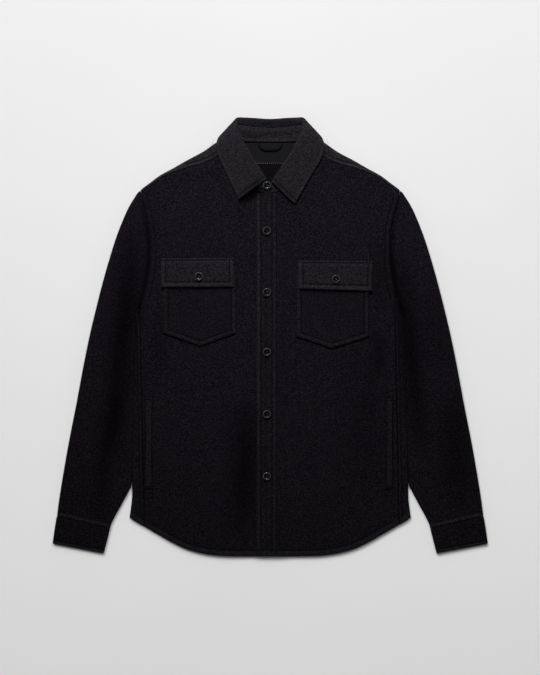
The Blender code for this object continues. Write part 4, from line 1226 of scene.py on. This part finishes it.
@made_once
def felted_wool():
    """Fulled and napped wool: matt and nearly black, flecked with paler fibres, its face soft and napped.

    A fibre is 0.02 mm wide, so the flecks are drawn as tufts of fibres 2 mm across, which shows. Its colour
    also carries painted light: a painted sheen on some pieces and on the swells by their edges, painted shade
    along the stitch lines, and painted shade in the folds and under and beside the pieces that lie over it.
    """
    made, tree, shader, place = new_material(
        "felted_wool_black", 0.95, 0,
        ("Sheen Weight", 0.02), ("Sheen Roughness", 0.5), ("Sheen Tint", colour("B9B4BA")),
    )
    tufts = noise(tree, place, 570, 2, 0.6)
    lain = drawn_noise(tree, place, 0.5, (260, 1100, 400), 1)
    crossed = drawn_noise(tree, place, -0.7, (1100, 240, 400), 1)
    fibres = math_of(tree, "MAXIMUM", lain, crossed)
    patches = noise(tree, place, 38, 2)
    pale = ranged(tree, tufts, 0.43, 0.66, steps="SMOOTHSTEP")
    stray = ranged(tree, fibres, 0.60, 0.74, to_high=0.6)
    # Painted sheen: some pieces, and the swells by their edges, are painted lighter.
    nap = carried(tree, "nap")
    ground = mixed(tree, patches, colour("0D0B10"), colour("151218"))
    ground = mixed(tree, nap, ground, colour("232124"))
    flecked = mixed(tree, pale, ground, mixed(tree, nap, colour("2A272C"), colour("423F44")))
    flecked = mixed(tree, stray, flecked, mixed(tree, nap, colour("3F3B40"), colour("5A565C")))
    # Painted shade along the lines of stitches, where the cloth sinks.
    sunk = ranged(tree, carried(tree, "thread"), 1.8, 0.4, to_high=0.70)
    painted_seam_light = mixed(tree, sunk, flecked, colour("060408"))
    # Painted shade in the folds and under and beside the pieces that lie over others.
    base = mixed(tree, carried(tree, "closed"), painted_seam_light, colour("030104"))
    tree.links.new(base, shader.inputs["Base Color"])
    link_bump(tree, shader, math_of(tree, "ADD", tufts, fibres), 0.55, 0.0011)
    return made


@made_once
def facing_twill():
    """Black cotton twill: matt and smooth, with fine slanting ribs.

    The ribs are 0.5 mm apart, and are drawn 1.5 mm apart so that they show.
    """
    made, tree, shader, place = new_material("facing_twill_black", 0.8, 0.08)
    uneven = (("Distortion", 0.6), ("Detail", 1), ("Detail Scale", 3))
    ribs = bands_across(tree, place, 105, "DIAGONAL", *uneven)
    ground = mixed(tree, noise(tree, place, 60, 2), colour("19171B"), colour("1F1D20"))
    tree.links.new(mixed(tree, ribs, ground, colour("1F1D21")), shader.inputs["Base Color"])
    link_bump(tree, shader, ribs, 0.3, 0.0003)
    return made


@made_once
def label_satin():
    """Woven satin: black, close and slightly shiny, with fine ribs across it."""
    made, tree, shader, place = new_material("label_satin_black", 0.6, 0.05)
    ribs = bands_across(tree, place, 260, "Y", ("Distortion", 0.3))
    tree.links.new(mixed(tree, ribs, colour("0A090B"), colour("100F12")), shader.inputs["Base Color"])
    link_bump(tree, shader, ribs, 0.25, 0.0002)
    return made


def thread_material(name, dark, pale, roughness, specular):
    """Spun thread: two close tones in fine slanting turns."""
    made, tree, shader, place = new_material(name, roughness, specular, ("Sheen Weight", 0.1))
    turns = bands_across(tree, place, 520, "DIAGONAL")
    tree.links.new(mixed(tree, turns, colour(dark), colour(pale)), shader.inputs["Base Color"])
    return made


@made_once
def wool_thread():
    return thread_material("polyester_thread_black", "0A0A0B", "1F1D20", 0.7, 0.25)


@made_once
def label_thread():
    return thread_material("polyester_thread_grey", "6E6C70", "A9A7AB", 0.6, 0.3)


@made_once
def button_thread():
    return thread_material("button_thread_black", "101011", "2B2A2D", 0.6, 0.3)


@made_once
def polished_horn():
    """Polished black horn: deep and glossy, with faint paler streaks, and a rim painted paler grey as a
    painted highlight.
    """
    made, tree, shader, place = new_material(
        "polished_horn_black", 0.16, 0.5, ("IOR", 1.54), ("Coat Weight", 0.5), ("Coat Roughness", 0.08),
    )
    streaks = drawn_noise(tree, place, 0.6, (160, 900, 300), 2)
    ground = mixed(tree, ranged(tree, streaks, 0.5, 0.75), colour("070708"), colour("151417"))
    # Painted highlight: the rim painted paler grey.
    base = mixed(tree, carried(tree, "rim"), ground, colour("565458"))
    tree.links.new(base, shader.inputs["Base Color"])
    tree.links.new(ranged(tree, streaks, 0, 1, 0.12, 0.24), shader.inputs["Roughness"])
    return made


@made_once
def studio_floor():
    """Matt pale paper, with a faint unevenness."""
    made, tree, shader, place = new_material("studio_paper", 0.9, 0.1)
    base = mixed(tree, noise(tree, place, 3, 3), colour("E7E7E7"), colour("ECECEC"))
    tree.links.new(base, shader.inputs["Base Color"])
    return made


FLOOR_HALF = 4000.0
CEILING_STRENGTH = 0.03
WALL_STRENGTH = 0.35
# Each light: name, kind, place and target in metres, what it falls on, settings.
LIGHTS = (
    ("window_light", "SPOT", (-0.30, 2.3, 1.7), (-0.01, 0.42, 0), "garment",
     {"energy": 246, "spot_size": math.radians(34), "spot_blend": 1, "shadow_soft_size": 0.16}),
    ("room_light", "SUN", (-0.8, 1.2, 1.5), (0, 0, 0), "floor",
     {"energy": 1.1, "angle": math.radians(20)}),
    ("floor_light", "AREA", (0, 1.6, 2.6), (0, 0.2, 0), "floor",
     {"energy": 75, "size": 2.4}),
    ("softbox", "AREA", (-0.9, 0.9, 1.05), (0, 0, 0), "buttons",
     {"energy": 5.5, "size": 0.6}),
)


def studio(frame_height=1.206, middle=(-0.0003, -0.0014), height=3, cloth_level=0.006):
    """A pale floor, soft light from the collar's side, and a camera straight above.

    The window's light falls on the garment alone and the floor has its own, so that the floor stays
    even while the cloth darkens towards the hem.
    """
    points = [(x * FLOOR_HALF, y * FLOOR_HALF, 0) for x, y in ((-1, -1), (1, -1), (1, 1), (-1, 1))]
    floor = add_mesh("studio_floor", points, np.array([[0, 1, 2, 3]]), studio_floor())
    shone_on = {what: bpy.data.collections.new(what) for what in ("garment", "floor", "buttons")}
    shone_on["floor"].objects.link(floor)
    world = bpy.data.worlds.new("studio_light")
    world.use_nodes = True
    tree = world.node_tree
    background = tree.nodes["Background"]
    background.inputs["Color"].default_value = (1, 1, 1, 1)
    direction = add_node(tree, "ShaderNodeTexCoord").outputs["Generated"]
    rise = add_node(tree, "ShaderNodeSeparateXYZ", ((0, direction),)).outputs["Z"]
    strength = ranged(tree, rise, 0.30, 0.75, WALL_STRENGTH, CEILING_STRENGTH, "SMOOTHSTEP")
    tree.links.new(strength, background.inputs["Strength"])
    bpy.context.scene.world = world
    for name, kind, place, target, what, settings in LIGHTS:
        lamp = bpy.data.lights.new(name, kind)
        for key, value in settings.items():
            setattr(lamp, key, value)
        made = bpy.data.objects.new(name, lamp)
        made.location = place
        aim = mathutils.Vector(target) - mathutils.Vector(place)
        made.rotation_euler = aim.to_track_quat("-Z", "Y").to_euler()
        bpy.context.scene.collection.objects.link(made)
        made.light_linking.receiver_collection = shone_on[what]
    lens = bpy.data.cameras.new("photo_camera")
    lens.lens = lens.sensor_width * (height - cloth_level) / frame_height
    camera = bpy.data.objects.new("photo_camera", lens)
    camera.location = (*middle, height)
    bpy.context.scene.collection.objects.link(camera)
    bpy.context.scene.camera = camera
    bpy.context.scene.view_settings.view_transform = "Standard"
    return shone_on


def declare(piece, slot, rests_on, width, length, area):
    """Attaches a piece to the root body, given its slot and the cut of its laid cloth in metres.

    The area is that of the cut's real outline, or None where the cut is a rectangle. The slot is not used.
    """
    area = width * length if area is None else area
    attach(piece.made, "root")


def dress():
    """Makes every piece and hides the part that it replaces; its table also lists what each rests on and the
    cut of what shows.
    """
    wool, facing = "felted_wool", "facing_cloth"
    under_leaf = ("collar_stand", "front_right", "front_left")
    pieces = [
        ("back_panel", back_panel(), wool, (), 0.560, 0.612, 0.2945),
        ("back_yoke", back_yoke(), wool, (), 0.472, 0.166, 0.0537),
        ("front_right", front(-1), wool, ("back_panel",), 0.245, 0.735, 0.1578),
        ("front_left", front(1), wool, ("back_panel", "front_right"), 0.225, 0.735, 0.1428),
        ("front_placket", front_placket(), wool, ("front_right",), 0.0357, 0.648, None),
        ("sleeve_right", sleeve(-1), wool, (), 0.310, 0.600, 0.1046),
        ("sleeve_left", sleeve(1), wool, (), 0.310, 0.600, 0.1046),
        ("cuff_right", cuff(-1), wool, (), 0.196, 0.057, 0.0095),
        ("cuff_left", cuff(1), wool, (), 0.196, 0.057, 0.0095),
        ("collar_stand", collar_stand(), wool, ("front_right", "back_yoke"), 0.450, 0.045, 0.0196),
        ("collar_leaf", collar_leaf(), wool, under_leaf, 0.500, 0.075, 0.0250),
        ("neck_facing", neck_facing(), facing, ("back_yoke",), 0.120, 0.0846, None),
        ("neck_label", neck_label(), "label_cloth", ("neck_facing",), 0.0554, 0.0462, None),
        ("hanger_loop", hanger_loop(), facing, ("neck_facing",), 0.010, 0.050, 0.00025),
    ]
    for side, pocket, flap, welt in (
        ("right", (0.130, 0.142, 0.0168), (0.131, 0.054, 0.0068), (0.0120, 0.1609, None)),
        ("left", (0.131, 0.143, 0.0170), (0.132, 0.055, 0.0070), (0.0110, 0.1591, None)),
    ):
        pieces += [
            (f"chest_pocket_{side}", chest_pocket(side), wool, (f"front_{side}",), *pocket),
            (f"pocket_flap_{side}", pocket_flap(side), wool, (f"chest_pocket_{side}",), *flap),
            (f"side_welt_{side}", side_welt(side), wool, (f"front_{side}",), *welt),
        ]
    for node, piece, *stated in pieces:
        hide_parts(node)
        declare(piece, *stated)
    for side in (-1, 1):
        declare(seam_allowance(side), wool, (f"front_{side_name(side)}",), 0.014, 0.223, None)
    places = [(f"front_button_{number}", (BUTTON_LINE, y)) for number, y in enumerate(FRONT_BUTTON_Y, 1)]
    places += [(f"pocket_button_{side}", FLAPS[side]["button"]) for side in ("right", "left")]
    on_placket = BODY_HEIGHT + STACK_GAP + PLACKET_WALL + STACK_GAP
    on_flap = BODY_HEIGHT + 2 * (STACK_GAP + WALL) + STACK_GAP
    for node, centre in places:
        bottom = on_placket if node.startswith("front") else on_flap
        bottom = bottom + float(drape(np.array([centre[0]]), np.array([centre[1]]))[0])
        made, thread = button(f"{node}_horn", centre, bottom)
        for piece in (made, thread):
            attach(piece, "root")
        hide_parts(node)


def main():
    shone_on = studio()
    dress()
    for piece in list(bpy.data.objects):
        if piece.name.endswith("_stitches"):
            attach(piece, "root")
    for piece in bpy.data.objects:
        if piece.type == "MESH" and not piece.name.startswith("studio"):
            shone_on["garment"].objects.link(piece)
        if piece.name.endswith("_horn"):
            shone_on["buttons"].objects.link(piece)


main()
